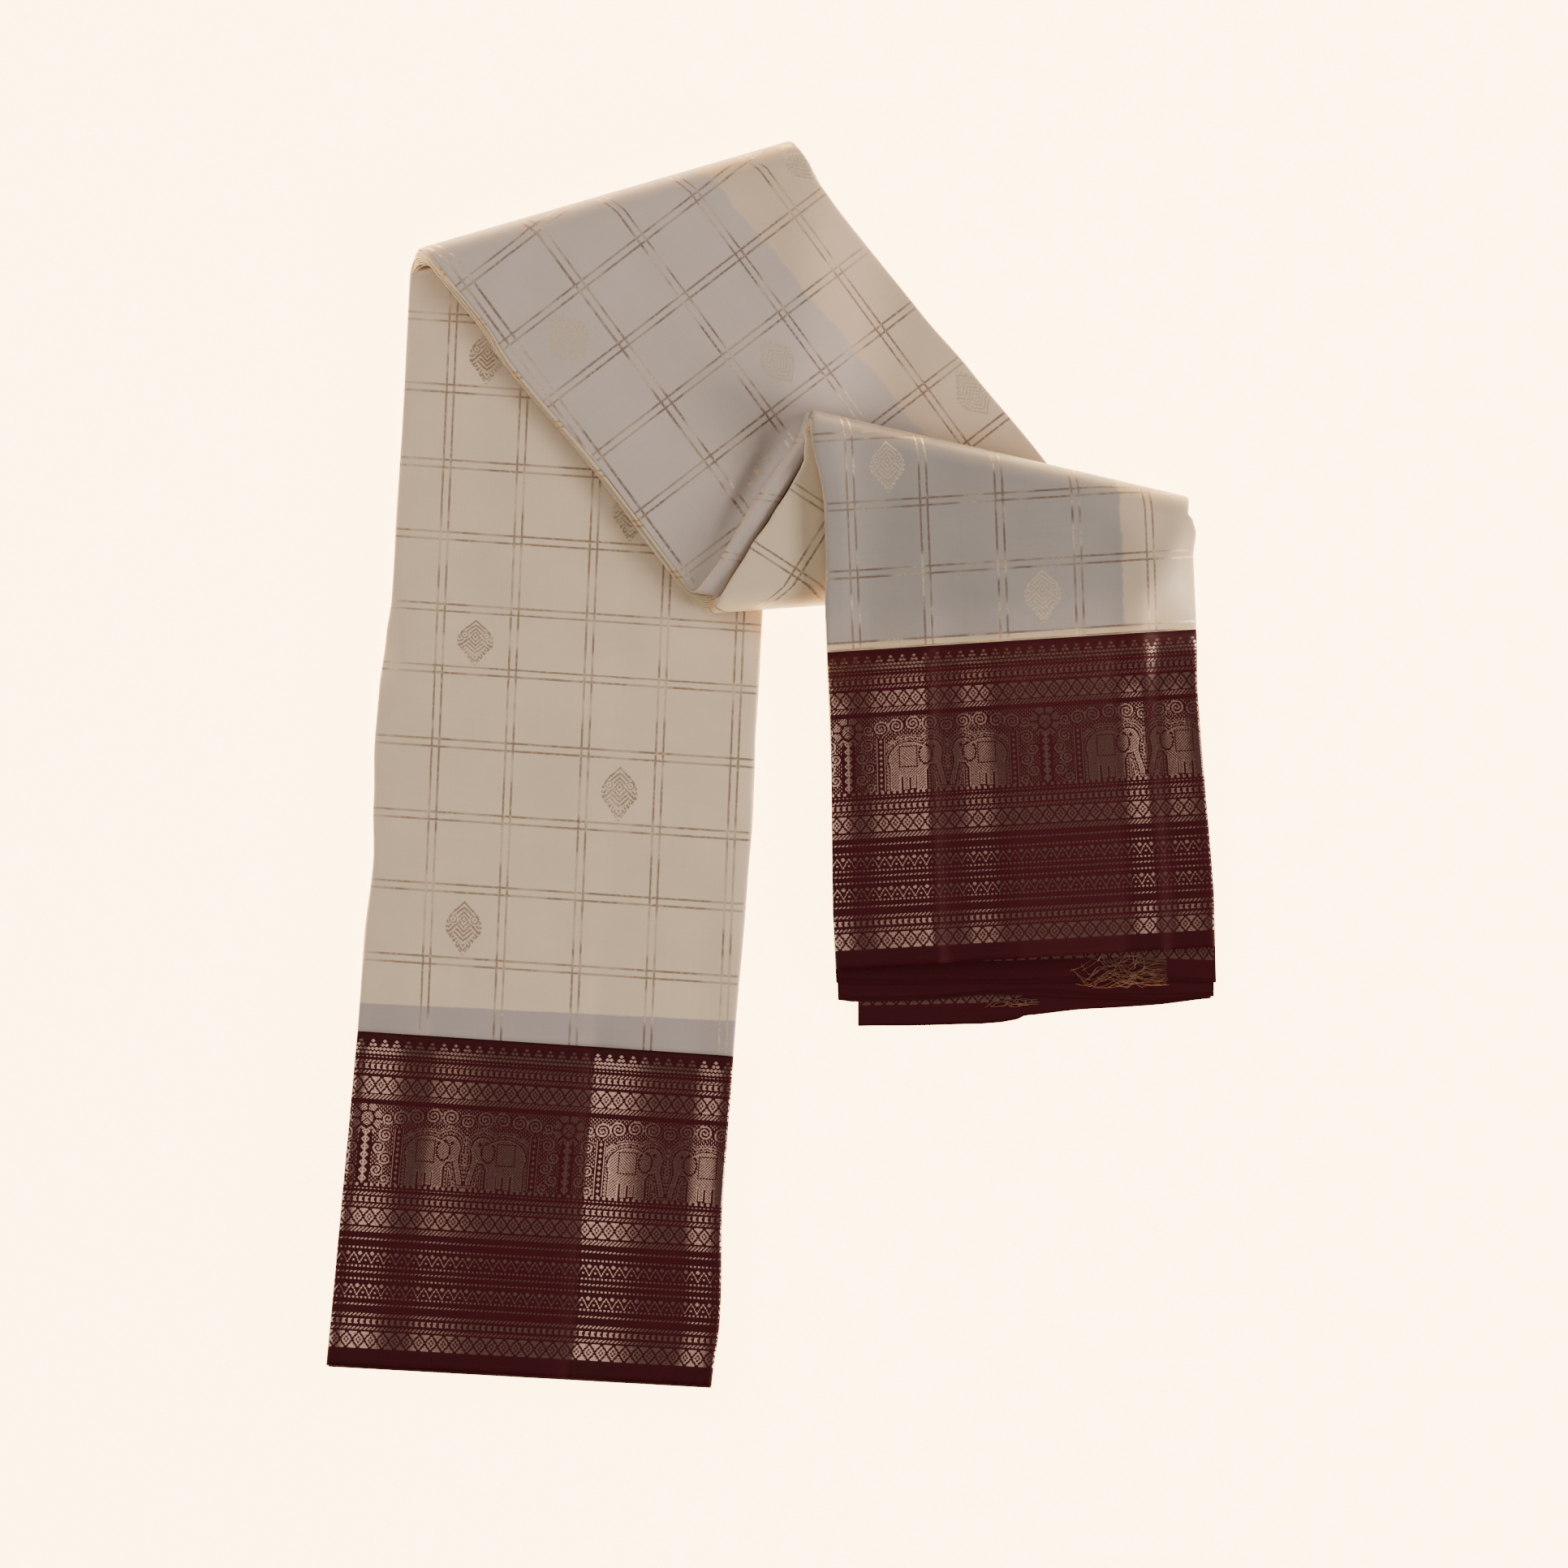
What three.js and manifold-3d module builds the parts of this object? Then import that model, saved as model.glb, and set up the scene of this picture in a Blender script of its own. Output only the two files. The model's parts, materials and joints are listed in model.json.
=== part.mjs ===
// A silk saree folded for display and laid on a flat surface, in millimetres, +Z up.
// The woven length is pleated into a long strip of many layers, as long as the cloth is wide.
// The strip lies in four stretches joined by three soft folds: up the left leg, across over it,
// back up in a short turn, and down the right leg. +Y points up the legs, away from the hems.
import * as THREE from "three";
import Module from "manifold-3d";

const wasm = await Module();
wasm.setup();

// Driving dimensions of the stack
const stackDepth = 10.5; // the pressed pleats of the strip, all layers
const foldGap = 1.3; // air between a stack and the one folded over it
const sheetWall = 1.0; // the outermost layers that show
const seamGap = 0.3;
const sheetInset = sheetWall + seamGap;
const edgeRound = 3.0; // how far in from a long edge the stack starts to round off
const rollRadius = stackDepth + foldGap / 2;

// Where the strip's ends, woven seams and folds lie, in plan. A fold's line is its outermost edge.
// "arrive" is the stretch below the fold and "leave" the stretch above it.
const crossLines = {
  leftHem: { left: [-227.4, -306.3], right: [-29.9, -317.3] },
  leftSeam: { left: [-211.6, -136.1], right: [-18.7, -149.0] },
  rightSeam: { left: [28.2, 56.9], right: [217.5, 68.9] },
  layersEnd: { left: [31.1, -77.2], right: [226.6, -67.2] },
  rightHem: { left: [32.8, -104.6], right: [227.0, -93.0] },
};
const folds = {
  top: { arriveLeft: [-183.8, 262.4], leaveLeft: [-181.4, 263.2], right: [10.8, 318.9] },
  under: { arriveLeft: [-35.7, 76.8], leaveLeft: [-29.9, 76.8], right: [188.8, 92.1] },
  shoulder: { arriveLeft: [21.2, 180.6], leaveLeft: [19.1, 181.1], right: [214.9, 136.2] },
};

// How far the long edges bow out from straight, at shares of a run between two cross lines.
const edgeBows = {
  leftBorder: { left: [], right: [{ at: 0.2, out: 2.0 }, { at: 0.55, out: -0.6 }] },
  leftBody: {
    left: [
      { at: 0.12, out: -0.3 },
      { at: 0.225, out: -2.0 },
      { at: 0.3, out: 0.0 },
      { at: 0.38, out: 1.6 },
      { at: 0.45, out: 1.2 },
      { at: 0.52, out: -0.5 },
      { at: 0.57, out: -2.0 },
      { at: 0.77, out: -1.3 },
    ],
    right: [{ at: 0.19, out: 1.6 }, { at: 0.25, out: 2.0 }, { at: 0.31, out: 1.4 }, { at: 0.38, out: 0.7 }],
  },
  crossing: {
    left: [{ at: 0.18, out: -0.8 }, { at: 0.3, out: 1.5 }, { at: 0.65, out: -1.0 }],
    right: [
      { at: 0.06, out: -2.8 },
      { at: 0.13, out: -3.3 },
      { at: 0.38, out: -2.4 },
      { at: 0.52, out: -0.6 },
      { at: 0.72, out: 0.8 },
    ],
  },
  turn: { left: [], right: [] },
  rightBody: {
    left: [{ at: 0.3, out: -4.2 }, { at: 0.55, out: -3.0 }, { at: 0.85, out: -0.6 }],
    right: [{ at: 0.11, out: 1.4 }, { at: 0.35, out: -0.4 }],
  },
  rightBorder: { left: [{ at: 0.25, out: -0.9 }], right: [{ at: 0.25, out: -1.4 }] },
};

// Soft hollows pressed into the top of a stretch: centre, half sizes, turn from +X and depth.
const hollows = [
  { stretch: 2, x: -14, y: 134, along: 30, across: 9.5, turn: 60, depth: 5.2 },
  { stretch: 2, x: -112, y: 176, along: 42, across: 22, turn: -52, depth: 1.0 },
  { stretch: 1, x: -178, y: 236, along: 26, across: 9, turn: 0, depth: 1.8 },
];
// Pressed storage creases that run along a leg's border: place across the strip and depth.
const creases = [
  { stretch: 1, upTo: -140, share: 0.12, width: 9, depth: 0.9 },
  { stretch: 1, upTo: -140, share: 0.63, width: 14, depth: 1.3 },
  { stretch: 4, upTo: 60, share: 0.28, width: 12, depth: 0.7 },
  { stretch: 4, upTo: 60, share: 0.79, width: 10, depth: 0.7 },
];

// How far each upper stretch takes to come down from what it lies on.
const slopes = { crossing: 60, turnPastEdge: 60, legPastFold: 62, legPastTurn: 50 };
const heldPast = 3; // how far past a support's edge a stretch stays up

const add = (a, b, k = 1) => [a[0] + b[0] * k, a[1] + b[1] * k];
const lerp = (a, b, t) => [a[0] + (b[0] - a[0]) * t, a[1] + (b[1] - a[1]) * t];
const dot = (a, b) => a[0] * b[0] + a[1] * b[1];
const span = (a, b) => Math.hypot(b[0] - a[0], b[1] - a[1]);
const direction = (a, b) => [(b[0] - a[0]) / span(a, b), (b[1] - a[1]) / span(a, b)];

// Distance of a point past the line from a to b, positive on the line's right.
function past(point, a, b) {
  const d = direction(a, b);
  return (point[0] - a[0]) * d[1] - (point[1] - a[1]) * d[0];
}

// 1 on a support, easing down to 0 at the given reach past its edge.
function easeDown(distance, reach) {
  const t = Math.min(Math.max(distance / reach, 0), 1);
  return (1 + Math.cos(Math.PI * t)) / 2;
}

const legRight = [crossLines.leftHem.right, folds.top.right];
const crossingRight = [folds.top.right, folds.under.right];
const underLine = [folds.under.right, folds.under.arriveLeft];
const turnRight = [folds.under.right, folds.shoulder.right];
const step = stackDepth + foldGap;

// Height of a stretch's underside over the surface it lies on.
function underside(stretch, x, y) {
  const p = [x, y];
  if (stretch === 1) return 0;
  const crossing = step * easeDown(past(p, ...legRight) - heldPast, slopes.crossing);
  if (stretch === 2) return crossing;
  const turn = (crossing + step) * easeDown(-past(p, ...crossingRight) - heldPast, slopes.turnPastEdge);
  if (stretch === 3) return turn;
  const beyondFold = easeDown(-past(p, ...underLine), slopes.legPastFold);
  const beyondTurn = easeDown(past(p, ...turnRight), slopes.legPastTurn);
  return (turn + step) * beyondFold * beyondTurn;
}

function hollowDepth(stretch, x, y, share) {
  let depth = 0;
  for (const h of hollows.filter((each) => each.stretch === stretch)) {
    const turn = (h.turn * Math.PI) / 180;
    const along = ((x - h.x) * Math.cos(turn) + (y - h.y) * Math.sin(turn)) / h.along;
    const across = ((y - h.y) * Math.cos(turn) - (x - h.x) * Math.sin(turn)) / h.across;
    depth += h.depth * Math.exp(-along * along - across * across);
  }
  for (const c of creases.filter((each) => each.stretch === stretch)) {
    const reach = easeDown(y - c.upTo + 20, 40);
    const across = ((share - c.share) * 192) / c.width;
    depth += c.depth * reach * Math.exp(-across * across);
  }
  return depth;
}

// A smooth bow through the rows of a table, 0 at both ends.
function bowAt(rows, t) {
  const all = [{ at: 0, out: 0 }, ...rows, { at: 1, out: 0 }];
  const i = Math.max(1, all.findIndex((row) => row.at >= t));
  const [a, b] = [all[i - 1], all[i]];
  const share = (t - a.at) / (b.at - a.at);
  return a.out + (b.out - a.out) * (3 * share * share - 2 * share ** 3);
}

// A point on the way from one edge point to the next, bowed away from the strip's middle.
function edgePoint(from, to, rows, outward, t) {
  const d = direction(from, to);
  const sign = dot([-d[1], d[0]], outward) > 0 ? 1 : -1;
  return add(lerp(from, to, t), [-d[1] * sign, d[0] * sign], bowAt(rows, t));
}

// Moves an edge's end back from a fold line until it is the roll's radius away from it.
function backFromFold(end, other, fold) {
  const line = direction(fold.arriveLeft, fold.right);
  const normal = [-line[1], line[0]];
  const d = direction(end, other);
  return add(end, d, rollRadius / Math.abs(dot(d, normal)));
}

// A run of the strip between two cross lines, on one stretch.
function run(stretch, bows, from, to) {
  return { stretch, bows, from, to, length: span(lerp(from.left, from.right, 0.5), lerp(to.left, to.right, 0.5)) };
}

function legTop() {
  const { leftSeam } = crossLines;
  return {
    left: backFromFold(folds.top.arriveLeft, leftSeam.left, folds.top),
    right: backFromFold(folds.top.right, leftSeam.right, folds.top),
  };
}

function between(lower, upper) {
  return {
    from: {
      left: backFromFold(lower.leaveLeft, upper.arriveLeft, lower),
      right: backFromFold(lower.right, upper.right, lower),
    },
    to: {
      left: backFromFold(upper.arriveLeft, lower.leaveLeft, upper),
      right: backFromFold(upper.right, lower.right, upper),
    },
  };
}

const crossingEnds = between(folds.top, folds.under);
const turnEnds = between(folds.under, folds.shoulder);
const shoulderStart = {
  left: backFromFold(folds.shoulder.leaveLeft, crossLines.rightSeam.left, folds.shoulder),
  right: backFromFold(folds.shoulder.right, crossLines.rightSeam.right, folds.shoulder),
};
const runs = {
  leftBorder: run(1, edgeBows.leftBorder, crossLines.leftHem, crossLines.leftSeam),
  leftBody: run(1, edgeBows.leftBody, crossLines.leftSeam, legTop()),
  crossing: run(2, edgeBows.crossing, crossingEnds.from, crossingEnds.to),
  turn: run(3, edgeBows.turn, turnEnds.from, turnEnds.to),
  rightBody: run(4, edgeBows.rightBody, shoulderStart, crossLines.rightSeam),
  rightBorder: run(4, edgeBows.rightBorder, crossLines.rightSeam, crossLines.layersEnd),
  rightEnd: run(4, { left: [], right: [] }, crossLines.layersEnd, crossLines.rightHem),
};

// A station on a run: both long edges at a share of the run. Shares just outside 0 to 1 run on straight.
function flatStation(name, t) {
  const { stretch, bows, from, to } = runs[name];
  const bowed = Math.min(Math.max(t, 0), 1);
  const across = direction(from.left, from.right);
  const left = edgePoint(from.left, to.left, bows.left, [-across[0], -across[1]], bowed);
  const right = edgePoint(from.right, to.right, bows.right, across, bowed);
  const extra = t - bowed;
  return {
    stretch,
    left: add(left, [to.left[0] - from.left[0], to.left[1] - from.left[1]], extra),
    right: add(right, [to.right[0] - from.right[0], to.right[1] - from.right[1]], extra),
  };
}

// A station part of the way round a fold, between the run below and the run above. The roll turns about
// a line midway between the two, which slopes where they do.
function rollStation(lowerName, upperName, fold, turned) {
  const line = direction(fold.arriveLeft, fold.right);
  const lower = flatStation(lowerName, 1);
  const inward = direction(fold.right, runs[lowerName].from.right);
  let out = [-line[1], line[0]];
  if (dot(out, inward) > 0) out = [line[1], -line[0]];
  const outerSide = lower.stretch % 2 === 1 ? "B" : "A";
  return { lower, upper: flatStation(upperName, 0), out, turned, outerSide };
}

// Depth from side A in a stack whose thickness differs from the usual: exact near both faces.
function squeezed(depth, thickness) {
  const face = 1.6;
  if (depth <= face) return depth;
  if (depth >= stackDepth - face) return thickness - (stackDepth - depth);
  const share = (depth - face) / (stackDepth - 2 * face);
  return face + share * (thickness - 2 * face);
}

// A point of the strip: distance in from its left edge, and depth from side A towards side B.
// Side A is up on the left leg and the turn. Side B is up on the crossing and the right leg.
function stripPoint(station, inFromLeft, depth) {
  if (station.lower) {
    const low = stripPoint(station.lower, inFromLeft, depth);
    const high = stripPoint(station.upper, inFromLeft, depth);
    const angle = station.turned * Math.PI;
    const radius = rollRadius - (station.outerSide === "A" ? depth : stackDepth - depth);
    low.z += radius;
    high.z -= radius;
    const point = low.lerp(high, station.turned);
    point.x += station.out[0] * radius * Math.sin(angle);
    point.y += station.out[1] * radius * Math.sin(angle);
    point.z -= radius * Math.cos(angle);
    return point;
  }
  const width = span(station.left, station.right);
  const share = inFromLeft(width) / width;
  const [x, y] = lerp(station.left, station.right, share);
  const bottom = underside(station.stretch, x, y);
  const thickness = stackDepth - hollowDepth(station.stretch, x, y, share);
  const top = bottom + thickness;
  const sideAUp = station.stretch % 2 === 1;
  const fromA = squeezed(depth, thickness);
  return new THREE.Vector3(x, y, sideAUp ? top - fromA : bottom + fromA);
}

// A closed body from points and triangles, turned to face outwards.
function solid(name, points, triangles, colour, finish) {
  let volume = 0;
  for (const [a, b, c] of triangles) {
    volume += points[a].dot(new THREE.Vector3().crossVectors(points[b], points[c]));
  }
  const faces = volume < 0 ? triangles.map(([a, b, c]) => [a, c, b]) : triangles;
  const geometry = new THREE.BufferGeometry().setFromPoints(points);
  geometry.setIndex(faces.flat());
  return pieceOf(name, geometry, colour, finish);
}

function pieceOf(name, geometry, colour, finish) {
  const material = new THREE.MeshStandardMaterial({ color: colour, ...finish });
  const mesh = new THREE.Mesh(geometry, material);
  mesh.name = name;
  return mesh;
}

const silk = { roughness: 0.45, metalness: 0 };
const zari = { roughness: 0.35, metalness: 0.9 };
const cream = 0xc9b9a3;
const grey = 0xaaa2a2;
const maroon = 0x4a1018;
const gold = 0xb08d57;

// Shares of the width at which the sheets and the hidden layers have points.
const acrossShares = [0, 0.07, 0.15, 0.25, 0.36, 0.47, 0.56, 0.63, 0.7, 0.79, 0.87, 0.94, 1];
const acrossPoints = acrossShares.map((share) => (width) => edgeRound + (width - 2 * edgeRound) * share);

// One outermost layer as a wall that rounds off at its long edges.
function sheetSolid(name, side, stations, colour, { leftIn = 0.5, rightIn = 0.5 } = {}) {
  const depthOf = (d) => (side === "A" ? d : stackDepth - d);
  const faceRow = (edgeIn, edgeDepth, depth) => [
    [() => leftIn + edgeIn, edgeDepth],
    ...acrossPoints.map((at) => [(w) => Math.max(at(w), leftIn + 1), depth]),
    [(w) => w - rightIn - edgeIn, edgeDepth],
  ];
  const outer = faceRow(0, 0.35, 0);
  const inner = faceRow(0.2, sheetWall + 0.15, sheetWall);
  const ring = [...outer, ...inner.reverse()];
  const points = stations.flatMap((station) => ring.map(([at, d]) => stripPoint(station, at, depthOf(d))));
  const faces = ringFaces(stations.length, ring.length, outer.length);
  return solid(name, points, [...faces, ...wallEnds(stations.length, ring.length)], colour, silk);
}

// Triangles between rings of n points. Each ring runs left to right, and from point "back" to the left
// again, and every quad is cut from its left at one station to its right at the next.
function ringFaces(ringCount, n, back) {
  const triangles = [];
  for (let i = 0; i < ringCount - 1; i++) {
    for (let j = 0; j < n; j++) {
      const [a, b] = [i * n + j, i * n + ((j + 1) % n)];
      if (j < back) triangles.push([a, b, b + n], [a, b + n, a + n]);
      else triangles.push([a, b, a + n], [b, b + n, a + n]);
    }
  }
  return triangles;
}

// Closes the first and the last ring of a wall with quads from its outer to its inner row.
function wallEnds(ringCount, n) {
  return [0, (ringCount - 1) * n].flatMap((first) => {
    const quads = Array.from({ length: n / 2 - 1 }, (_, j) => [j, j + 1, n - 2 - j, n - 1 - j]);
    const faces = quads.flatMap(([a, b, c, d]) => [[a, c, b], [a, d, c]]);
    return faces.map(([p, q, r]) => (first ? [p, r, q] : [p, q, r]).map((k) => k + first));
  });
}

// How far back from the fold at a run's end the next stretch's outermost layer starts.
const startBack = { leftBody: 14, crossing: 14, turn: 10 };
const half = seamGap / 2;
const shareOf = (name, distance) => distance / runs[name].length;

// Shares of each run at which it has stations, closer where it bends.
const evenly = (steps) => Array.from({ length: steps + 1 }, (_, i) => i / steps);
const shares = {
  leftBorder: evenly(4),
  leftBody: withStart("leftBody", [0, 0.09, 0.18, 0.25, 0.31, 0.37, 0.44, 0.5, 0.57, 0.66, 0.77, 0.85, 0.91]),
  crossing: withStart("crossing", [0, 0.1, 0.19, 0.27, 0.34, 0.4, 0.46, 0.52, 0.58, 0.64, 0.7, 0.76, 0.82, 0.88]),
  turn: withStart("turn", [0, 0.2, 0.4, 0.6, 0.8]),
  rightBody: [0, 0.1, 0.2, 0.3, 0.42, 0.55, 0.7, 0.85, 1],
  rightBorder: evenly(5),
};

// Adds the two stations where the next stretch's outermost layer starts, and the run's end.
function withStart(name, list) {
  const start = 1 - shareOf(name, startBack[name]);
  const before = start - shareOf(name, seamGap);
  return [...list.filter((share) => share < before - 0.02), before, start, 1];
}

// The stations of a run, cut back at either end by a distance in millimetres.
function along(name, cut = { start: 0, end: 0 }) {
  const [low, high] = [shareOf(name, cut.start), 1 - shareOf(name, cut.end)];
  return shares[name].map((share) => flatStation(name, Math.min(Math.max(share, low), high)));
}

// The end of a run that the next stretch's outermost layer starts on.
const lastOf = (name) => shares[name].slice(-2).map((share) => flatStation(name, share));

// Stations round a fold, without its first and last, which are the runs' own.
function around(lowerName, upperName, fold, steps = 6) {
  return Array.from({ length: steps - 1 }, (_, i) => rollStation(lowerName, upperName, fold, (i + 1) / steps));
}

function sheets() {
  const topRoll = around("leftBody", "crossing", folds.top);
  const underRoll = around("crossing", "turn", folds.under);
  const shoulderRoll = around("turn", "rightBody", folds.shoulder);
  const rightEnd = [0.5, 1].map((share) => flatStation("rightEnd", share));
  const crossing = [...lastOf("leftBody"), ...topRoll, ...along("crossing")];
  const turn = [...lastOf("crossing"), ...underRoll, ...along("turn")];
  const rightBody = [...lastOf("turn"), ...shoulderRoll, ...along("rightBody", { start: 0, end: half })];
  const rightBorder = [...along("rightBorder", { start: half, end: 0 }), ...rightEnd];
  return [
    sheetSolid("left_border", "A", along("leftBorder", { start: 0, end: half }), maroon),
    sheetSolid("left_body", "A", along("leftBody", { start: half, end: 0 }), cream),
    sheetSolid("crossing_body", "B", crossing, grey, { leftIn: 3.4 }),
    sheetSolid("turn_body", "A", turn, cream),
    sheetSolid("right_body", "B", rightBody, grey),
    sheetSolid("right_border", "B", rightBorder, maroon),
  ];
}

// The pleats between the outermost layers, as one solid with grooved long edges and left hem.
const bulges = [0.6, 0.0, 0.9];
const grooveIn = 2.4;
const hemBulge = 1.2;
const hemStandsOut = 0.5; // the hidden layers' hem past the top layer's

function coreRing(insetA, insetB, tuck) {
  const [nearA, nearB] = [insetA, stackDepth - insetB];
  const sideLevels = Array.from({ length: 2 * bulges.length - 1 }, (_, i) => {
    const depth = nearA + ((nearB - nearA) * (i + 1)) / (2 * bulges.length);
    return { depth, edgeIn: i % 2 === 0 ? bulges[i / 2] : grooveIn };
  });
  const across = acrossPoints.map((at) => (w) => Math.max(at(w), edgeRound + tuck));
  return [
    ...across.map((at) => [at, nearA]),
    ...sideLevels.map(({ depth, edgeIn }) => [(w) => w - edgeIn, depth]),
    ...[...across].reverse().map((at) => [at, nearB]),
    ...[...sideLevels].reverse().map(({ depth, edgeIn }) => [() => edgeIn + tuck, depth]),
  ];
}

// Stations of the hidden layers, each with how far side A and side B are cut back for a sheet.
function coreStations() {
  const row = (insetA, insetB, tuck = 0) => (station) => ({ station, insetA, insetB, tuck });
  const onLeg = row(sheetInset, 0);
  const onCrossing = row(0, sheetInset);
  const onBoth = row(sheetInset, sheetInset);
  const pastHem = flatStation("leftBorder", -shareOf("leftBorder", hemStandsOut));
  const body = (name) => shares[name].slice(0, -2).map((share) => flatStation(name, share));
  return [
    onLeg(pastHem),
    ...along("leftBorder").slice(0, -1).map(onLeg),
    ...body("leftBody").map(onLeg),
    ...lastOf("leftBody").map(onBoth),
    ...around("leftBody", "crossing", folds.top).map(onBoth),
    ...body("crossing").map(onCrossing),
    ...lastOf("crossing").map(onBoth),
    ...around("crossing", "turn", folds.under).map(onBoth),
    ...body("turn").map(onLeg),
    ...lastOf("turn").map(onBoth),
    ...around("turn", "rightBody", folds.shoulder).map(row(sheetInset, sheetInset, 4)),
    ...along("rightBody").slice(0, -1).map(onCrossing),
    ...along("rightBorder").map(onCrossing),
  ];
}

function hiddenLayers() {
  const rows = coreStations();
  const nRow = acrossPoints.length;
  const nSide = 2 * bulges.length - 1;
  const n = 2 * (nRow + nSide);
  const points = [];
  for (const { station, insetA, insetB, tuck } of rows) {
    points.push(...coreRing(insetA, insetB, tuck).map(([at, depth]) => stripPoint(station, at, depth)));
  }
  const legDown = direction(crossLines.leftSeam.left, crossLines.leftHem.left);
  for (let j = 0; j < nSide; j += 2) {
    for (const k of [nRow + j, n - 1 - j]) {
      points[k].x += legDown[0] * hemBulge;
      points[k].y += legDown[1] * hemBulge;
    }
  }
  const triangles = ringFaces(rows.length, n, nRow + nSide);
  for (const last of [false, true]) {
    const first = last ? (rows.length - 1) * n : 0;
    const faces = [];
    for (let j = 0; j < nRow - 1; j++) faces.push([n - 1, j + 1, j]);
    faces.push([n - 1, nRow, nRow - 1]);
    for (let j = 0; j < nSide - 1; j++) {
      const [left, right] = [n - 1 - j, nRow + j];
      faces.push([left, left - 1, right + 1], [left, right + 1, right]);
    }
    const lastLeft = n - nSide;
    const rowStart = nRow + nSide;
    faces.push([lastLeft, rowStart, rowStart - 1]);
    for (let j = 0; j < nRow - 1; j++) faces.push([lastLeft, rowStart + j + 1, rowStart + j]);
    triangles.push(...faces.map((f) => (last ? [f[0], f[2], f[1]] : f).map((k) => k + first)));
  }
  return solid("hidden_layers", points, triangles, cream, silk);
}

// The side B layer that is turned over beside the turn, as a half tube open to the right.
const turnedEdgeRows = [
  { at: 0.02, width: 12.0, rise: 3.9 },
  { at: 0.14, width: 12.9, rise: 4.3 },
  { at: 0.3, width: 12.7, rise: 4.4 },
  { at: 0.55, width: 11.6, rise: 4.4 },
  { at: 0.78, width: 8.6, rise: 4.2 },
  { at: 0.95, width: 6.0, rise: 3.8 },
];

function turnedEdge() {
  const { from, to } = runs.turn;
  const away = direction(from.right, from.left);
  const steps = 10;
  const gap = 0.6;
  const rings = turnedEdgeRows.map(({ at, width, rise }) => {
    const root = lerp(from.left, to.left, at);
    const angles = Array.from({ length: steps + 1 }, (_, i) => ((0.44 - (0.88 * i) / steps) * Math.PI));
    const arc = (thin) =>
      angles.map((angle) => {
        const out = (width - thin) * Math.cos(angle);
        const [x, y] = add(root, away, Math.max(out, gap));
        const top = underside(2, x, y) + stackDepth;
        return new THREE.Vector3(x, y, top + 0.5 + rise + (rise - thin) * Math.sin(angle));
      });
    return [...arc(0), ...arc(sheetWall + 0.2).reverse()];
  });
  const n = rings[0].length;
  const triangles = [...ringFaces(rings.length, n, n / 2), ...wallEnds(rings.length, n)];
  return solid("turned_edge", rings.flat(), triangles, grey, silk);
}

// The lower layers that fan out past the right leg's hem: outline from the left edge round, in plan.
const hemLayers = [
  {
    name: "lowest_layer_hem",
    bottom: 0,
    depth: 2.6,
    hem: [[44.4, -133.9], [107.1, -132.8], [125.7, -130.2], [134.9, -127.9], [159.8, -125.7], [197.1, -122.6],
      [224.9, -119.6]],
    topLeft: [44.2, -77.0],
    topRight: [223.9, -68.0],
  },
  {
    name: "third_layer_hem",
    bottom: 2.9,
    depth: 2.6,
    hem: [[34.2, -120.6], [40.7, -121.6], [69.3, -121.6], [108.3, -117.9], [141.1, -117.9], [198.0, -120.4],
      [226.3, -118.9]],
    topLeft: [32.6, -77.5],
    topRight: [226.2, -67.8],
  },
  {
    name: "second_layer_hem",
    bottom: 5.8,
    depth: 2.6,
    hem: [[33.2, -111.6], [120.4, -111.6], [195.0, -110.4], [227.4, -111.6]],
    topLeft: [31.6, -77.6],
    topRight: [226.4, -67.8],
  },
];

function hemLayer({ name, bottom, depth, hem, topLeft, topRight }) {
  const round = 0.6;
  const outline = new THREE.Shape([topLeft, ...hem, topRight].map(([x, y]) => new THREE.Vector2(x, y)));
  const geometry = new THREE.ExtrudeGeometry(outline, {
    depth: depth - 2 * round,
    bevelThickness: round,
    bevelSize: round,
    bevelOffset: -round,
    bevelSegments: 1,
    steps: 1,
  });
  geometry.translate(0, 0, bottom + round);
  return pieceOf(name, geometry, maroon, silk);
}

// Loose zari threads at the cloth's cut end: a narrow backing and curled strands of three sides.
const frays = [
  {
    name: "frayed_end_upper",
    height: 8.6,
    backing: { x: 202.0, y: -113.0, long: 15, wide: 1.2 },
    strands: 13,
    reach: 8,
    loose: [
      { from: 0.12, reach: 30, sway: 4 },
      { from: 0.35, reach: 46, sway: 3 },
      { from: 0.62, reach: 38, sway: -5 },
      { from: 0.88, reach: 54, sway: -4 },
    ],
  },
  {
    name: "frayed_end_lower",
    height: 2.8,
    backing: { x: 136.0, y: -123.2, long: 3.6, wide: 1.2 },
    strands: 3,
    reach: 9,
    loose: [
      { from: 0.3, reach: 19, sway: -2 },
      { from: 0.7, reach: 25, sway: 0.6 },
    ],
  },
];
const threadWide = 0.42;

function asManifold(geometry) {
  const flat = geometry.index ? geometry : geometry.clone();
  const seen = new Map();
  const vertices = [];
  const position = flat.getAttribute("position");
  const order = flat.index ? Array.from(flat.index.array) : Array.from({ length: position.count }, (_, i) => i);
  const triangles = order.map((i) => {
    const point = [position.getX(i), position.getY(i), position.getZ(i)].map((v) => Math.fround(v));
    const key = point.map((v) => v.toFixed(4)).join();
    if (!seen.has(key)) {
      seen.set(key, vertices.length / 3);
      vertices.push(...point);
    }
    return seen.get(key);
  });
  const mesh = new wasm.Mesh({
    numProp: 3,
    vertProperties: new Float32Array(vertices),
    triVerts: new Uint32Array(triangles),
  });
  return new wasm.Manifold(mesh);
}

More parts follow.
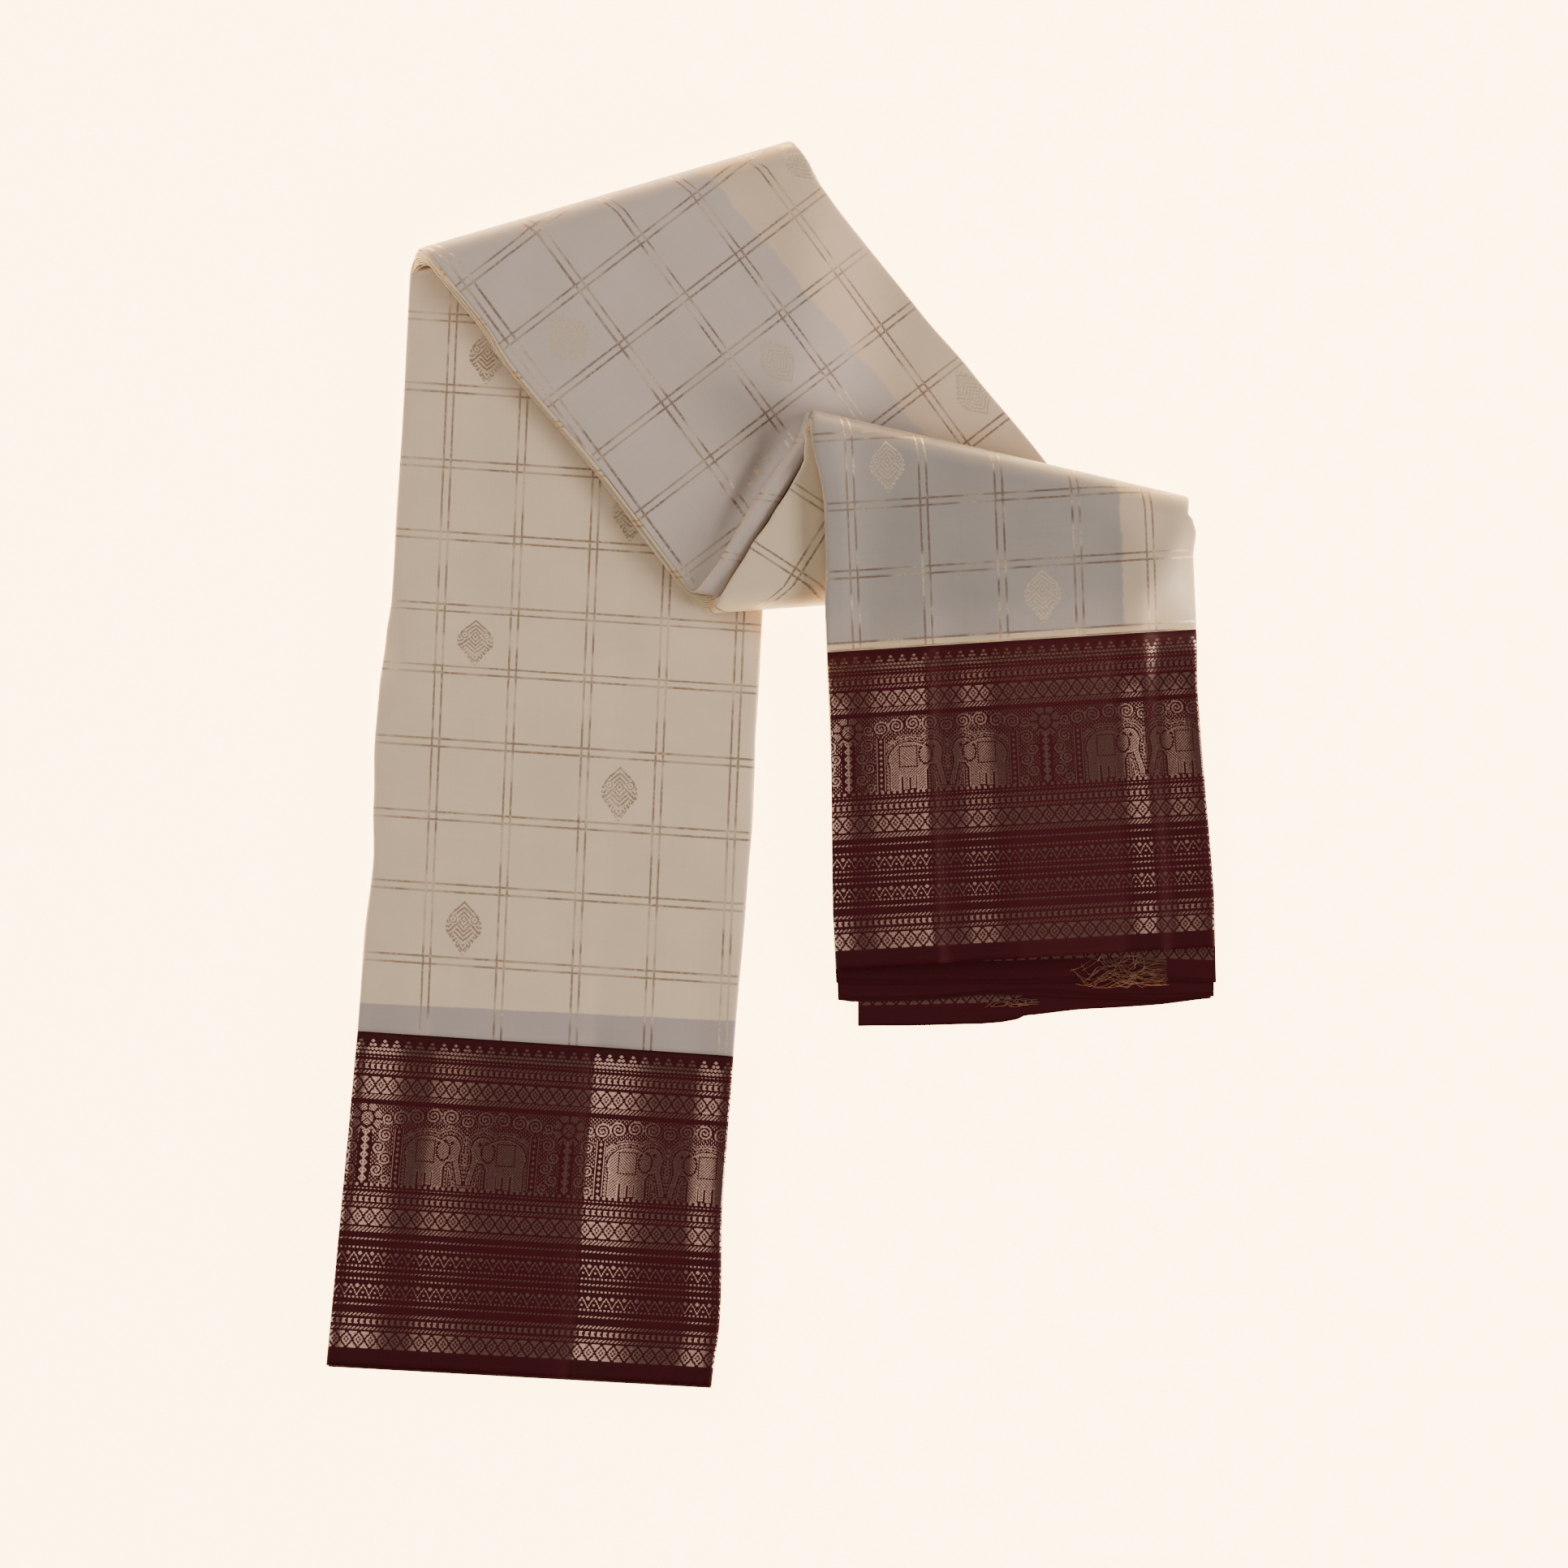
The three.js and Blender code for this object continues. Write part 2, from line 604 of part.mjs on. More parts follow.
// One thread: a three-sided section carried along a curve that runs to the left and sways.
function strand(start, reach, sway, height) {
  const knots = Array.from({ length: 5 }, (_, i) => {
    const t = i / 4;
    const lift = 0.35 * Math.sin(Math.PI * t);
    return new THREE.Vector3(start[0] - reach * t, start[1] + sway * Math.sin(1.6 * t * t), height + lift);
  });
  const section = new THREE.Shape(
    [0, 1, 2].map((i) => new THREE.Vector2(
      (threadWide / 2) * Math.cos((i * 2 * Math.PI) / 3),
      (threadWide / 2) * Math.sin((i * 2 * Math.PI) / 3),
    )),
  );
  const path = new THREE.CatmullRomCurve3(knots);
  const steps = Math.max(3, Math.round(reach / 5));
  return new THREE.ExtrudeGeometry(section, { extrudePath: path, steps, bevelEnabled: false });
}

function frayedEnd({ name, height, backing, strands, reach, loose }) {
  const { x, y, long, wide } = backing;
  const bar = new THREE.BoxGeometry(wide, long, 0.7).translate(x, y + long / 2, height + 0.35);
  let whole = asManifold(bar);
  const rows = [
    ...Array.from({ length: strands }, (_, i) => ({
      from: (i + 0.5) / strands,
      reach: reach * (0.8 + 0.2 * Math.sin(i * 2.1)),
      sway: 0.1,
    })),
    ...loose,
  ];
  for (const row of rows) {
    const at = [x, y + row.from * long];
    whole = whole.add(asManifold(strand(at, row.reach, row.sway, height + 0.3)));
  }
  const mesh = whole.getMesh();
  const geometry = new THREE.BufferGeometry();
  geometry.setAttribute("position", new THREE.BufferAttribute(mesh.vertProperties, 3));
  geometry.setIndex(new THREE.BufferAttribute(mesh.triVerts, 1));
  return pieceOf(name, geometry, gold, zari);
}

const saree = new THREE.Group();
saree.add(hiddenLayers(), ...sheets(), turnedEdge(), ...hemLayers.map(hemLayer), ...frays.map(frayedEnd));

export default saree;
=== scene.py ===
import json
import math
from functools import partial

import bpy
import numpy as np
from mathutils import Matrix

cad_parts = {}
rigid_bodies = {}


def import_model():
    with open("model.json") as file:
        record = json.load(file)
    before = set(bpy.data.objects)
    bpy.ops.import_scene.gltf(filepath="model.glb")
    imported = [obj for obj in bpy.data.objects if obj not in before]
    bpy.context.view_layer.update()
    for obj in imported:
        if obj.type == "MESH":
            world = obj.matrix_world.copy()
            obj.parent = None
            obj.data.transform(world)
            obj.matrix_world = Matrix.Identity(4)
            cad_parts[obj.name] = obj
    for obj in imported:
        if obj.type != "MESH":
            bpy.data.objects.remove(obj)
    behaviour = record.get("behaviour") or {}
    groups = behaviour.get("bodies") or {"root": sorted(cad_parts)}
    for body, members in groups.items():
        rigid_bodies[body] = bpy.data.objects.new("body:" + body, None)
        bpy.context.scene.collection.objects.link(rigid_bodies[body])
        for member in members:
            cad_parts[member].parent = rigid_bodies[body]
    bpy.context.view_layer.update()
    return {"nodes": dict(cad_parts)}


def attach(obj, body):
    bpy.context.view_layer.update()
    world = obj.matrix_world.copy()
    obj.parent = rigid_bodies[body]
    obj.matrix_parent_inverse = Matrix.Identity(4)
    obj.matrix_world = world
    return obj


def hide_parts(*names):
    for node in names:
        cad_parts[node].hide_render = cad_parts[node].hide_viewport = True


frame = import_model()
print("frame loaded:", len(frame["nodes"]), "nodes")

mm = 0.001
rng = np.random.default_rng(7)

# the strip and where it lies, in mm

strip = {
    "width": 192,
    "border": 171,
    "depth": 10.5,  # all the pressed pleats
    "foldGap": 1.3,  # left between two stretches at a fold
    "heldPast": 3.0,  # a stretch stays up for so long past the edge below it
    "roll": 10.5 + 1.3 / 2,
    "skin": 1.6,  # the outermost layers, which waves and hollows don't squeeze
}
lines = {  # ends of the hems, seams and folds, left then right, in plan
    "leftHem": ((-227.4, -306.3), (-29.9, -317.3)),
    "leftSeam": ((-211.6, -136.1), (-18.7, -149.0)),
    "rightSeam": ((28.2, 56.9), (217.5, 68.9)),
    "layersEnd": ((31.1, -77.2), (226.6, -67.2)),
    "rightHem": ((32.8, -104.6), (227.0, -93.0)),
}
folds = {
    "top": {"arrive": (-183.8, 262.4), "leave": (-181.4, 263.2), "right": (10.8, 318.9)},
    "under": {"arrive": (-35.7, 76.8), "leave": (-29.9, 76.8), "right": (188.8, 92.1)},
    "shoulder": {"arrive": (21.2, 180.6), "leave": (19.1, 181.1), "right": (214.9, 136.2)},
}
bows = {  # how far the long edges bow out, at shares of a run
    "leftBorder": ([], [(0.2, 2.0), (0.55, -0.6)]),
    "leftBody": (
        [(0.12, -0.3), (0.225, -2.0), (0.3, 0.0), (0.38, 1.6), (0.45, 1.2), (0.52, -0.5), (0.57, -2.0),
         (0.77, -1.3)],
        [(0.19, 1.6), (0.25, 2.0), (0.31, 1.4), (0.38, 0.7)],
    ),
    "crossing": (
        [(0.18, -0.8), (0.3, 1.5), (0.65, -1.0)],
        [(0.06, -2.8), (0.13, -3.3), (0.38, -2.4), (0.52, -0.6), (0.72, 0.8)],
    ),
    "turn": ([(0.28, -2.1), (0.48, -4.9), (0.69, -6.8), (0.83, -7.3), (0.92, -4.5)], []),
    "rightBody": ([(0.3, -4.2), (0.55, -3.0), (0.85, -0.6)], [(0.11, 1.4), (0.35, -0.4)]),
    "rightBorder": ([(0.25, -0.9)], [(0.25, -1.4)]),
    "rightEnd": ([], []),
}
hollows = [  # pressed into the top of a stretch: x, y, along, across, turn in degrees, depth
    (2, -6, 148, 27, 8.0, 59, 7.2),
    (2, -112, 176, 42, 22, -52, 1.0),
    (1, -178, 236, 26, 9, 0, 1.8),
]
creases = [  # storage folds along a leg's border: stretch, up to y, share across, width, depth
    (1, -140, 0.12, 9, 0.9),
    (1, -140, 0.63, 14, 1.3),
    (4, 60, 0.28, 12, 0.7),
    (4, 60, 0.79, 10, 0.7),
]
slopes = {"crossing": 60, "turn": 60, "legFold": 62, "legTurn": 50}


def unit(a, b):
    d = np.subtract(b, a)
    return d / np.hypot(*d)


def between(a, b, t):
    return np.asarray(a, float) + (np.asarray(b, float) - np.asarray(a, float)) * t


def past(x, y, a, b):
    d = unit(a, b)
    return (x - a[0]) * d[1] - (y - a[1]) * d[0]


def easeDown(distance, reach):
    t = np.clip(distance / reach, 0, 1)
    return (1 + np.cos(np.pi * t)) / 2


def underside(stretch, x, y):
    step = strip["depth"] + strip["foldGap"]
    held = strip["heldPast"]
    if stretch == 1:
        return np.zeros_like(x)
    overLeg = past(x, y, lines["leftHem"][1], folds["top"]["right"]) - held
    crossing = step * easeDown(overLeg, slopes["crossing"])
    if stretch == 2:
        return crossing
    overCrossing = -past(x, y, folds["top"]["right"], folds["under"]["right"]) - held
    turn = (crossing + step) * easeDown(overCrossing, slopes["turn"])
    if stretch == 3:
        return turn
    overFold = -past(x, y, folds["under"]["right"], folds["under"]["arrive"])
    overTurn = past(x, y, folds["under"]["right"], folds["shoulder"]["right"])
    return (turn + step) * easeDown(overFold, slopes["legFold"]) * easeDown(overTurn, slopes["legTurn"])


def bowAt(rows, t):
    rows = [(0, 0)] + list(rows) + [(1, 0)]
    at = [row[0] for row in rows]
    i = min(max(1, int(np.searchsorted(at, t))), len(rows) - 1)
    (a, low), (b, high) = rows[i - 1], rows[i]
    s = (t - a) / (b - a)
    return low + (high - low) * (3 * s * s - 2 * s ** 3)


def backFromFold(end, other, fold):
    line = unit(fold["arrive"], fold["right"])
    normal = np.array((-line[1], line[0]))
    d = unit(end, other)
    return np.asarray(end, float) + d * (strip["roll"] / abs(float(d @ normal)))


def foldEnds(lower, upper):
    start = [backFromFold(lower[a], upper[b], lower) for a, b in (("leave", "arrive"), ("right", "right"))]
    stop = [backFromFold(upper[a], lower[b], upper) for a, b in (("arrive", "leave"), ("right", "right"))]
    return start, stop


seamLeft, seamRight = lines["leftSeam"], lines["rightSeam"]
legTop = (
    backFromFold(folds["top"]["arrive"], seamLeft[0], folds["top"]),
    backFromFold(folds["top"]["right"], seamLeft[1], folds["top"]),
)
shoulderStart = (
    backFromFold(folds["shoulder"]["leave"], seamRight[0], folds["shoulder"]),
    backFromFold(folds["shoulder"]["right"], seamRight[1], folds["shoulder"]),
)
runs = {
    "leftBorder": (1, lines["leftHem"], seamLeft),
    "leftBody": (1, seamLeft, legTop),
    "crossing": (2, *foldEnds(folds["top"], folds["under"])),
    "turn": (3, *foldEnds(folds["under"], folds["shoulder"])),
    "rightBody": (4, shoulderStart, seamRight),
    "rightBorder": (4, seamRight, lines["layersEnd"]),
    "rightEnd": (4, lines["layersEnd"], lines["rightHem"]),
}


def runLength(name):
    _, start, stop = runs[name]
    return float(np.hypot(*(between(*stop, 0.5) - between(*start, 0.5))))


def flatStation(name, t):
    # where a run of the strip has its left and right edge at a share t of its length
    stretch, start, stop = runs[name]
    across = unit(start[0], start[1])
    ends = []
    for side, rows in enumerate(bows[name]):
        d = unit(start[side], stop[side])
        normal = np.array((-d[1], d[0]))
        sign = 1 if float(normal @ (across if side else -across)) > 0 else -1
        ends.append(between(start[side], stop[side], t) + normal * sign * bowAt(rows, min(max(t, 0), 1)))
    return {"stretch": stretch, "left": ends[0], "right": ends[1], "run": name, "t": t}


def rollStation(lower, upper, fold, turned):
    line = unit(fold["arrive"], fold["right"])
    below = flatStation(lower, 1)
    inward = unit(fold["right"], runs[lower][1][1])
    out = np.array((-line[1], line[0]))
    if float(out @ inward) > 0:
        out = -out
    outer = "B" if below["stretch"] % 2 else "A"
    return {"lower": below, "upper": flatStation(upper, 0), "out": out, "turned": turned, "outer": outer}


# small waves that the press left in the cloth

borderTilts = {  # tilt of the surface towards the left in degrees, at distances from the strip's left edge
    "left": [(0, -3), (4, -3), (7, 5), (11, 7), (19, 6.5), (31, -6), (36, -6), (42, 1.5), (50, 2.6), (60, 1.2),
             (75, -3), (112, -3.4), (118, -10), (121, -14), (122.5, 9), (130, 7.5), (142, 5), (155, 0),
             (165, -3.4), (174, -3.4), (176, 4), (180, 6.5), (187, 6.5), (190, 0), (194, 0)],
    "right": [(0, 0), (3, 6.5), (9, 6.5), (13, -1), (18, 0), (23, 5), (34, 6.5), (46, 8), (51.5, 8), (53, -12),
              (57.5, -12), (60, -3), (66, 0), (71, 5.5), (82, 6), (90, -2), (97, -6.9), (148, -6.9), (153, 7),
              (160, 8), (165, 7.5), (166.5, -11), (171.5, -11), (173, 2), (176, 7), (186, 7), (191, 0), (194, 0)],
}
bodyWaves = [  # stretch, distance from the seam, slant across the strip, rise, run up, run back, all in mm
    (1, 201, 4, 3.0, 15, 46),
    (1, 126, 0, 1.6, 15, 50),
    (1, 60, 6, 1.2, 18, 50),
    (1, 290, -8, 1.6, 22, 60),
    (1, 372, 3, 1.8, 9, 26),
    (4, 46, 2, 1.6, 26, 40),
]


def tiltProfile(name):
    at = np.linspace(0, 194, 971)
    angle = np.interp(at, [row[0] for row in borderTilts[name]], [row[1] for row in borderTilts[name]])
    height = np.concatenate(([0], np.cumsum(np.tan(np.radians(angle[:-1])) * np.diff(at))))
    height -= height[-1] * at / at[-1]
    return at, height - height.min()


tiltHeights = {name: tiltProfile(name) for name in borderTilts}
print("waves rise to", {name: round(float(row[1].max()), 2) for name, row in tiltHeights.items()}, "mm")


def seamDistance(station):
    # distance from the seam into the body, in mm; the borders are below 0
    run, t = station["run"], station["t"]
    if run in ("crossing", "turn"):
        return 400.0
    length = runLength(run)
    return {"leftBorder": (t - 1) * length, "leftBody": t * length, "rightBody": (1 - t) * length,
            "rightBorder": -t * length, "rightEnd": -runLength("rightBorder") - t * length}[run]


def waveHeight(station, u, width):
    stretch = station["stretch"]
    d = seamDistance(station)
    total = np.zeros_like(u)
    if station.get("calm"):
        return total
    if stretch in (1, 4):
        at, height = tiltHeights["left" if stretch == 1 else "right"]
        reach = 1.0 if d < 0 else 0.25 + 0.75 * math.exp(-d / 22)
        total += reach * np.interp(u * 194 / width, at, height)
    for row in bodyWaves:
        if row[0] == stretch:
            x = d - row[1] - row[2] * (u / width - 0.5)
            up = np.where(x < 0, np.exp(-(x / row[4]) ** 2), np.exp(-(x / row[5]) ** 2))
            fade = min(1.0, max(0.0, d / 14))
            total += row[3] * up * fade * np.clip(np.minimum(u, width - u) / 9, 0, 1)
    return total


def hollowDepth(station, x, y, share):
    depth = np.zeros_like(x)
    for stretch, cx, cy, long, wide, turn, deep in hollows:
        if stretch == station["stretch"]:
            c, s = math.cos(math.radians(turn)), math.sin(math.radians(turn))
            a = ((x - cx) * c + (y - cy) * s) / long
            b = ((y - cy) * c - (x - cx) * s) / wide
            depth += deep * np.exp(-a * a - b * b)
    for stretch, upTo, at, wide, deep in creases:
        if stretch == station["stretch"]:
            depth += deep * easeDown(y - upTo + 20, 40) * np.exp(-(((share - at) * 192) / wide) ** 2) * 0.35
    return depth


def squeezed(depth, thickness):
    # only the middle of the pleats gives way where the strip is thinner or thicker than it should be
    face, total = strip["skin"], strip["depth"]
    middle = face + (depth - face) / (total - 2 * face) * (thickness - 2 * face)
    return np.where(depth <= face, depth, np.where(depth >= total - face, thickness - (total - depth), middle))


def stripPoints(station, u, depth):
    # points of the strip in mm, for distances in from the left edge and depths from side A
    if "lower" in station:
        low = stripPoints(station["lower"], u, depth)
        high = stripPoints(station["upper"], u, depth)
        angle = station["turned"] * math.pi
        outer = depth if station["outer"] == "A" else strip["depth"] - depth
        radius = strip["roll"] - outer
        low[:, 2] += radius
        high[:, 2] -= radius
        points = low + (high - low) * station["turned"]
        points[:, :2] += np.outer(radius * math.sin(angle), station["out"])
        points[:, 2] -= radius * math.cos(angle)
        return points
    left, right = station["left"], station["right"]
    width = float(np.hypot(*(right - left)))
    share = np.clip(u / width, -0.02, 1.02)
    xy = left + np.outer(share, right - left)
    x, y = xy[:, 0], xy[:, 1]
    bottom = underside(station["stretch"], x, y)
    wave = waveHeight(station, share * width, width)
    thickness = strip["depth"] - hollowDepth(station, x, y, share) + wave
    fromA = squeezed(np.asarray(depth, float), thickness)
    z = bottom + (thickness - fromA if station["stretch"] % 2 else fromA)
    return np.column_stack((x, y, z))


def stationWidth(station):
    if "lower" in station:
        return min(stationWidth(station["lower"]), stationWidth(station["upper"]))
    return float(np.hypot(*(station["right"] - station["left"])))


def alongRun(name, spacing, cutStart=0.0, cutEnd=0.0):
    length = runLength(name)
    count = max(2, round((length - cutStart - cutEnd) / spacing) + 1)
    return [flatStation(name, t) for t in np.linspace(cutStart / length, 1 - cutEnd / length, count)]


def aroundFold(lower, upper, fold, steps=14):
    return [rollStation(lower, upper, folds[fold], (i + 1) / steps) for i in range(steps - 1)]


# materials

def hexColor(text):
    parts = [int(text[i:i + 2], 16) / 255 for i in (1, 3, 5)]
    return tuple(c / 12.92 if c <= 0.04045 else ((c + 0.055) / 1.055) ** 2.4 for c in parts) + (1.0,)


nodeModes = {"Math": "operation", "MapRange": "interpolation_type", "Mix": "data_type"}


def addNode(tree, kind, *inputs, out=0, **settings):
    # kind in capitals is an operation of the Math node, and any other kind may give its mode after a space;
    # inputs stand in the node's own order, or in one dictionary
    kind, *mode = ("Math " + kind if kind.isupper() else kind).split()
    node = tree.nodes.new("ShaderNode" + kind)
    if mode:
        settings[nodeModes[kind]] = mode[0]
    for key, value in settings.items():
        setattr(node, key, value)
    pairs = inputs[0].items() if inputs and isinstance(inputs[0], dict) else enumerate(inputs)
    for key, value in pairs:
        if isinstance(value, bpy.types.NodeSocket):
            tree.links.new(value, node.inputs[key])
        else:
            node.inputs[key].default_value = value
    return node if out is None else node.outputs[out]


def newMaterial(name):
    material = bpy.data.materials.new(name)
    material.use_nodes = True
    material.node_tree.nodes.clear()
    return material, partial(addNode, material.node_tree)  # add(...) then puts a node into this material


def clothCoordinates(add):
    # the UV map is in metres of cloth; the distances across the strip and along it are in mm
    uv = add("UVMap", uv_map="weave")
    parts = add("SeparateXYZ", uv, out=None).outputs
    return uv, add("MULTIPLY", parts[0], 1000.0), add("MULTIPLY", parts[1], 1000.0)


weave = {"pitch": 0.62, "threads": 0.5, "slubs": 0.8}  # in mm, drawn coarser than the silk's own 0.1 mm


def weaveHeight(add, uv, across, lengthwise, zari, zariRise):
    # threads over and under each other, with slubs, and the zari that stands on them
    turns = 2 * math.pi / weave["pitch"]
    warp, weft = (add("SINE", add("MULTIPLY", place, turns)) for place in (across, lengthwise))
    grid = add("MULTIPLY", warp, weft)
    longThreads = add("Mapping", {"Vector": uv, "Scale": (90, 900, 1)})
    slubs = add("TexNoise", {"Vector": longThreads, "Scale": 1.0, "Detail": 2.0})
    slubs = add("MULTIPLY", slubs, weave["slubs"])
    return add("MULTIPLY_ADD", zari, zariRise, add("MULTIPLY_ADD", grid, weave["threads"], slubs))


finishes = {  # relief in metres; rise is how far the zari stands up, against the weave
    "body": {"bump": 0.2, "relief": 0.00012, "rise": 1.5, "zari": {"Roughness": 0.36},
             "silk": {"Roughness": 0.42, "Sheen Weight": 0.1, "Sheen Roughness": 0.4}},
    "border": {"bump": 0.06, "relief": 0.00012, "rise": 2.0, "zari": {"Metallic": 0.93, "Roughness": 0.22},
               "silk": {"Roughness": 0.55, "Specular IOR Level": 0.14}},
    "pleats": {"bump": 0.2, "relief": 0.0001, "rise": 0.0, "zari": {"Metallic": 1.0, "Roughness": 0.35},
               "silk": {"Roughness": 0.5, "Sheen Weight": 0.2, "Sheen Roughness": 0.4}},
}


def weaveShader(add, cloth, mask, silkColor, zariColor, finish, **linked):
    # silk, and zari where the mask is, under one bump; cloth is the UV map and its two distances
    height = weaveHeight(add, *cloth, mask, finish["rise"])
    bump = add("Bump", {"Strength": finish["bump"], "Distance": finish["relief"], "Height": height})
    silk = add("BsdfPrincipled", {"Base Color": silkColor, "IOR": 1.5, "Normal": bump, **finish["silk"]})
    zari = add("BsdfPrincipled", {"Base Color": zariColor, "Normal": bump, **finish["zari"], **linked})
    add("OutputMaterial", add("MixShader", mask, silk, zari), out=None)


flower = {"cell": 0.45, "columns": 24, "rows": 60}  # the woven bud in some checks; cells in mm


def flowerMark(x, y):
    # zari in the bud, in mm out from its axis and down from its tip: a tuft, two curls, a leaf and its frame
    reach = np.interp(y, [0, 2.5, 5, 7, 10, 13, 16, 18.5, 21, 23.5, 26, 27.4],
                      [0.5, 3.4, 5.4, 7.4, 8.8, 9.3, 8.8, 6.8, 4.8, 3.2, 1.2, 0.3])
    if x > reach:
        return False
    if y < 7:
        return (y - 0.9 * x + 9.6) % 2.4 < 1.35
    if x > reach - 0.9:
        return y % 2.4 < 1.7
    curl = math.hypot(x - 5.6, y - 9.2)
    if curl < 2.7:
        return 1.4 < curl < 2.2 or curl < 0.6
    centre = x / 2.8 + abs(y - 10.2) / 3.4
    if centre < 1.2:
        return centre < 0.3 or 0.65 < centre < 1.0
    leaf = np.interp(y, [12.8, 15.5, 19, 22.4], [3.4, 5.2, 3.2, 0.2]) - x
    if 12.2 < y < 22.6 and leaf > -0.6:
        return leaf > 0 and (y + 0.9 * x) % 2.4 < 1.35
    if y > 22.6:
        return (y + x) % 2.4 < 1.6
    return (y - x + 9.6) % 2.4 < 1.4


rampRows = 32  # a ramp holds at most 32 stops


def chartRamp(add, rowNumbers, row, first):
    # row numbers written as bits, one stop for each row of the chart, in up to three colour channels
    inBlock = add("SUBTRACT", row, float(first))
    factor = add("DIVIDE", add("ADD", inBlock, 0.5), float(rampRows))
    ramp = add("ValToRGB", factor, out=None)
    ramp.color_ramp.interpolation = "CONSTANT"
    elements = ramp.color_ramp.elements
    while len(elements) > 1:
        elements.remove(elements[-1])
    for i, numbers in enumerate(rowNumbers):
        element = elements[0] if i == 0 else elements.new(i / rampRows)
        element.position = i / rampRows
        element.color = (*numbers, 1.0)
    half = len(rowNumbers) / 2
    here = add("COMPARE", inBlock, half - 0.5, half)
    return add("SeparateColor", ramp.outputs[0], out=None).outputs, here


def bitOf(add, number, place):
    power = add("POWER", 2.0, place)
    shifted = add("DIVIDE", add("ADD", number, 0.5), power)
    return add("MODULO", add("FLOOR", shifted), 2.0)


def rowBits(marks):
    return float(sum(2 ** i for i, mark in enumerate(marks) if mark))


def flowerMask(add, across, lengthwise, lattice):
    # a flower in every fourth square, those of the next column two squares on
    stepU, stepV = lattice["stepU"], lattice["stepV"]
    cell, rows, half = flower["cell"], flower["rows"], flower["columns"] // 2
    u = add("SUBTRACT", across, lattice["u"])
    column = add("ADD", add("DIVIDE", u, stepU), 0.5)
    column = add("MODULO", add("FLOOR", column), 2.0)
    oddColumn = add("ABSOLUTE", column)
    localU = add("ABSOLUTE", add("WRAP", u, stepU / 2, -stepU / 2))
    v = add("SUBTRACT", lengthwise, lattice["v"])
    v = add("SUBTRACT", v, add("MULTIPLY", oddColumn, stepV / 2))
    localV = add("DIVIDE", add("WRAP", v, stepV / 2, -stepV / 2), cell)
    row = add("FLOOR", add("SUBTRACT", rows / 2, localV))
    place = add("FLOOR", add("DIVIDE", localU, cell))
    low = add("LESS_THAN", place, half - 0.5)
    total = 0.0
    for first in range(0, rows, rows // 2):
        marks = [[flowerMark((c + 0.5) * cell, (r + 0.5) * cell) for c in range(flower["columns"])]
                 for r in range(first, first + rows // 2)]
        numbers = [(rowBits(line[:half]), rowBits(line[half:]), 0.0) for line in marks]
        parts, here = chartRamp(add, numbers, row, first)
        part = add("Mix FLOAT", {0: low, 2: parts[1], 3: parts[0]})
        total = add("MULTIPLY_ADD", part, here, total)
    bit = bitOf(add, total, add("MODULO", place, float(half)))
    return add("MULTIPLY", bit, add("LESS_THAN", place, flower["columns"] - 0.5))


def pairMask(add, value, pitch, start):
    # two zari lines in each pitch, in mm
    distance = add("PINGPONG", add("SUBTRACT", value, start), pitch / 2)
    off = add("ABSOLUTE", add("SUBTRACT", distance, zariLines["halfGap"]))
    wide = zariLines["halfWidth"]
    return add("MapRange SMOOTHSTEP", off, wide - 0.12, wide + 0.14, 1.0, 0.0)


# the two zari colours are its colour in shade and its painted highlight
zariLines = {"halfGap": 1.9, "halfWidth": 0.56, "dashPitch": 0.95,  # in mm
             "budCover": 0.85, "colors": ("#7d6655", "#dcc9ae")}
# each stretch has its own copy of the silk's colours, set to the tone it shows under the light: painted light and
# shade on one silk; the right leg's cream and grey are the darkest, painted shade
bodyLooks = {
    "creamSilk": {
        "budPaintedGleam": 0.22, "color": "#c8b49e", "other": "#978d8e", "greyBelow": 14.7, "greyLean": 0.019,
        "lineU": 30.5, "lineV": 39.0, "pitchU": 38.3, "pitchV": 36.6,
        "flower": {"u": 49.0, "v": 56.0, "stepU": 76.6, "stepV": 146.4}, "noLineBelow": 12.0,
    },
    "turnSilk": {
        "budPaintedGleam": 0.3, "color": "#c1b19b",
        "lineU": 12.0, "lineV": 8.0, "pitchU": 38.3, "pitchV": 36.5,
        "flower": {"u": 300.0, "v": 57.5, "stepU": 900.0, "stepV": 900.0},
    },
    "crossingSilk": {
        "budPaintedGleam": 0.85, "color": "#c2ac97", "other": "#aca09d", "greyLeftOf": 154.7, "greyLean": 0.066,
        "lineU": 30.0, "lineV": 45.0, "pitchU": 38.4, "pitchV": 36.9,
        "flower": {"u": 50.3, "v": 61.9, "stepU": 76.8, "stepV": 147.6},
    },
    "rightSilk": {
        "budPaintedGleam": 0.86, "color": "#a99988", "other": "#868080", "greyLeftOf": 155.0, "greyLean": 0.0,
        "paleHem": 4.2,
        "lineU": 16.6, "lineV": 2.4, "pitchU": 38.4, "pitchV": 36.6,
        "flower": {"u": 36.5, "v": 95.0, "stepU": 76.8, "stepV": 146.4},
    },
}


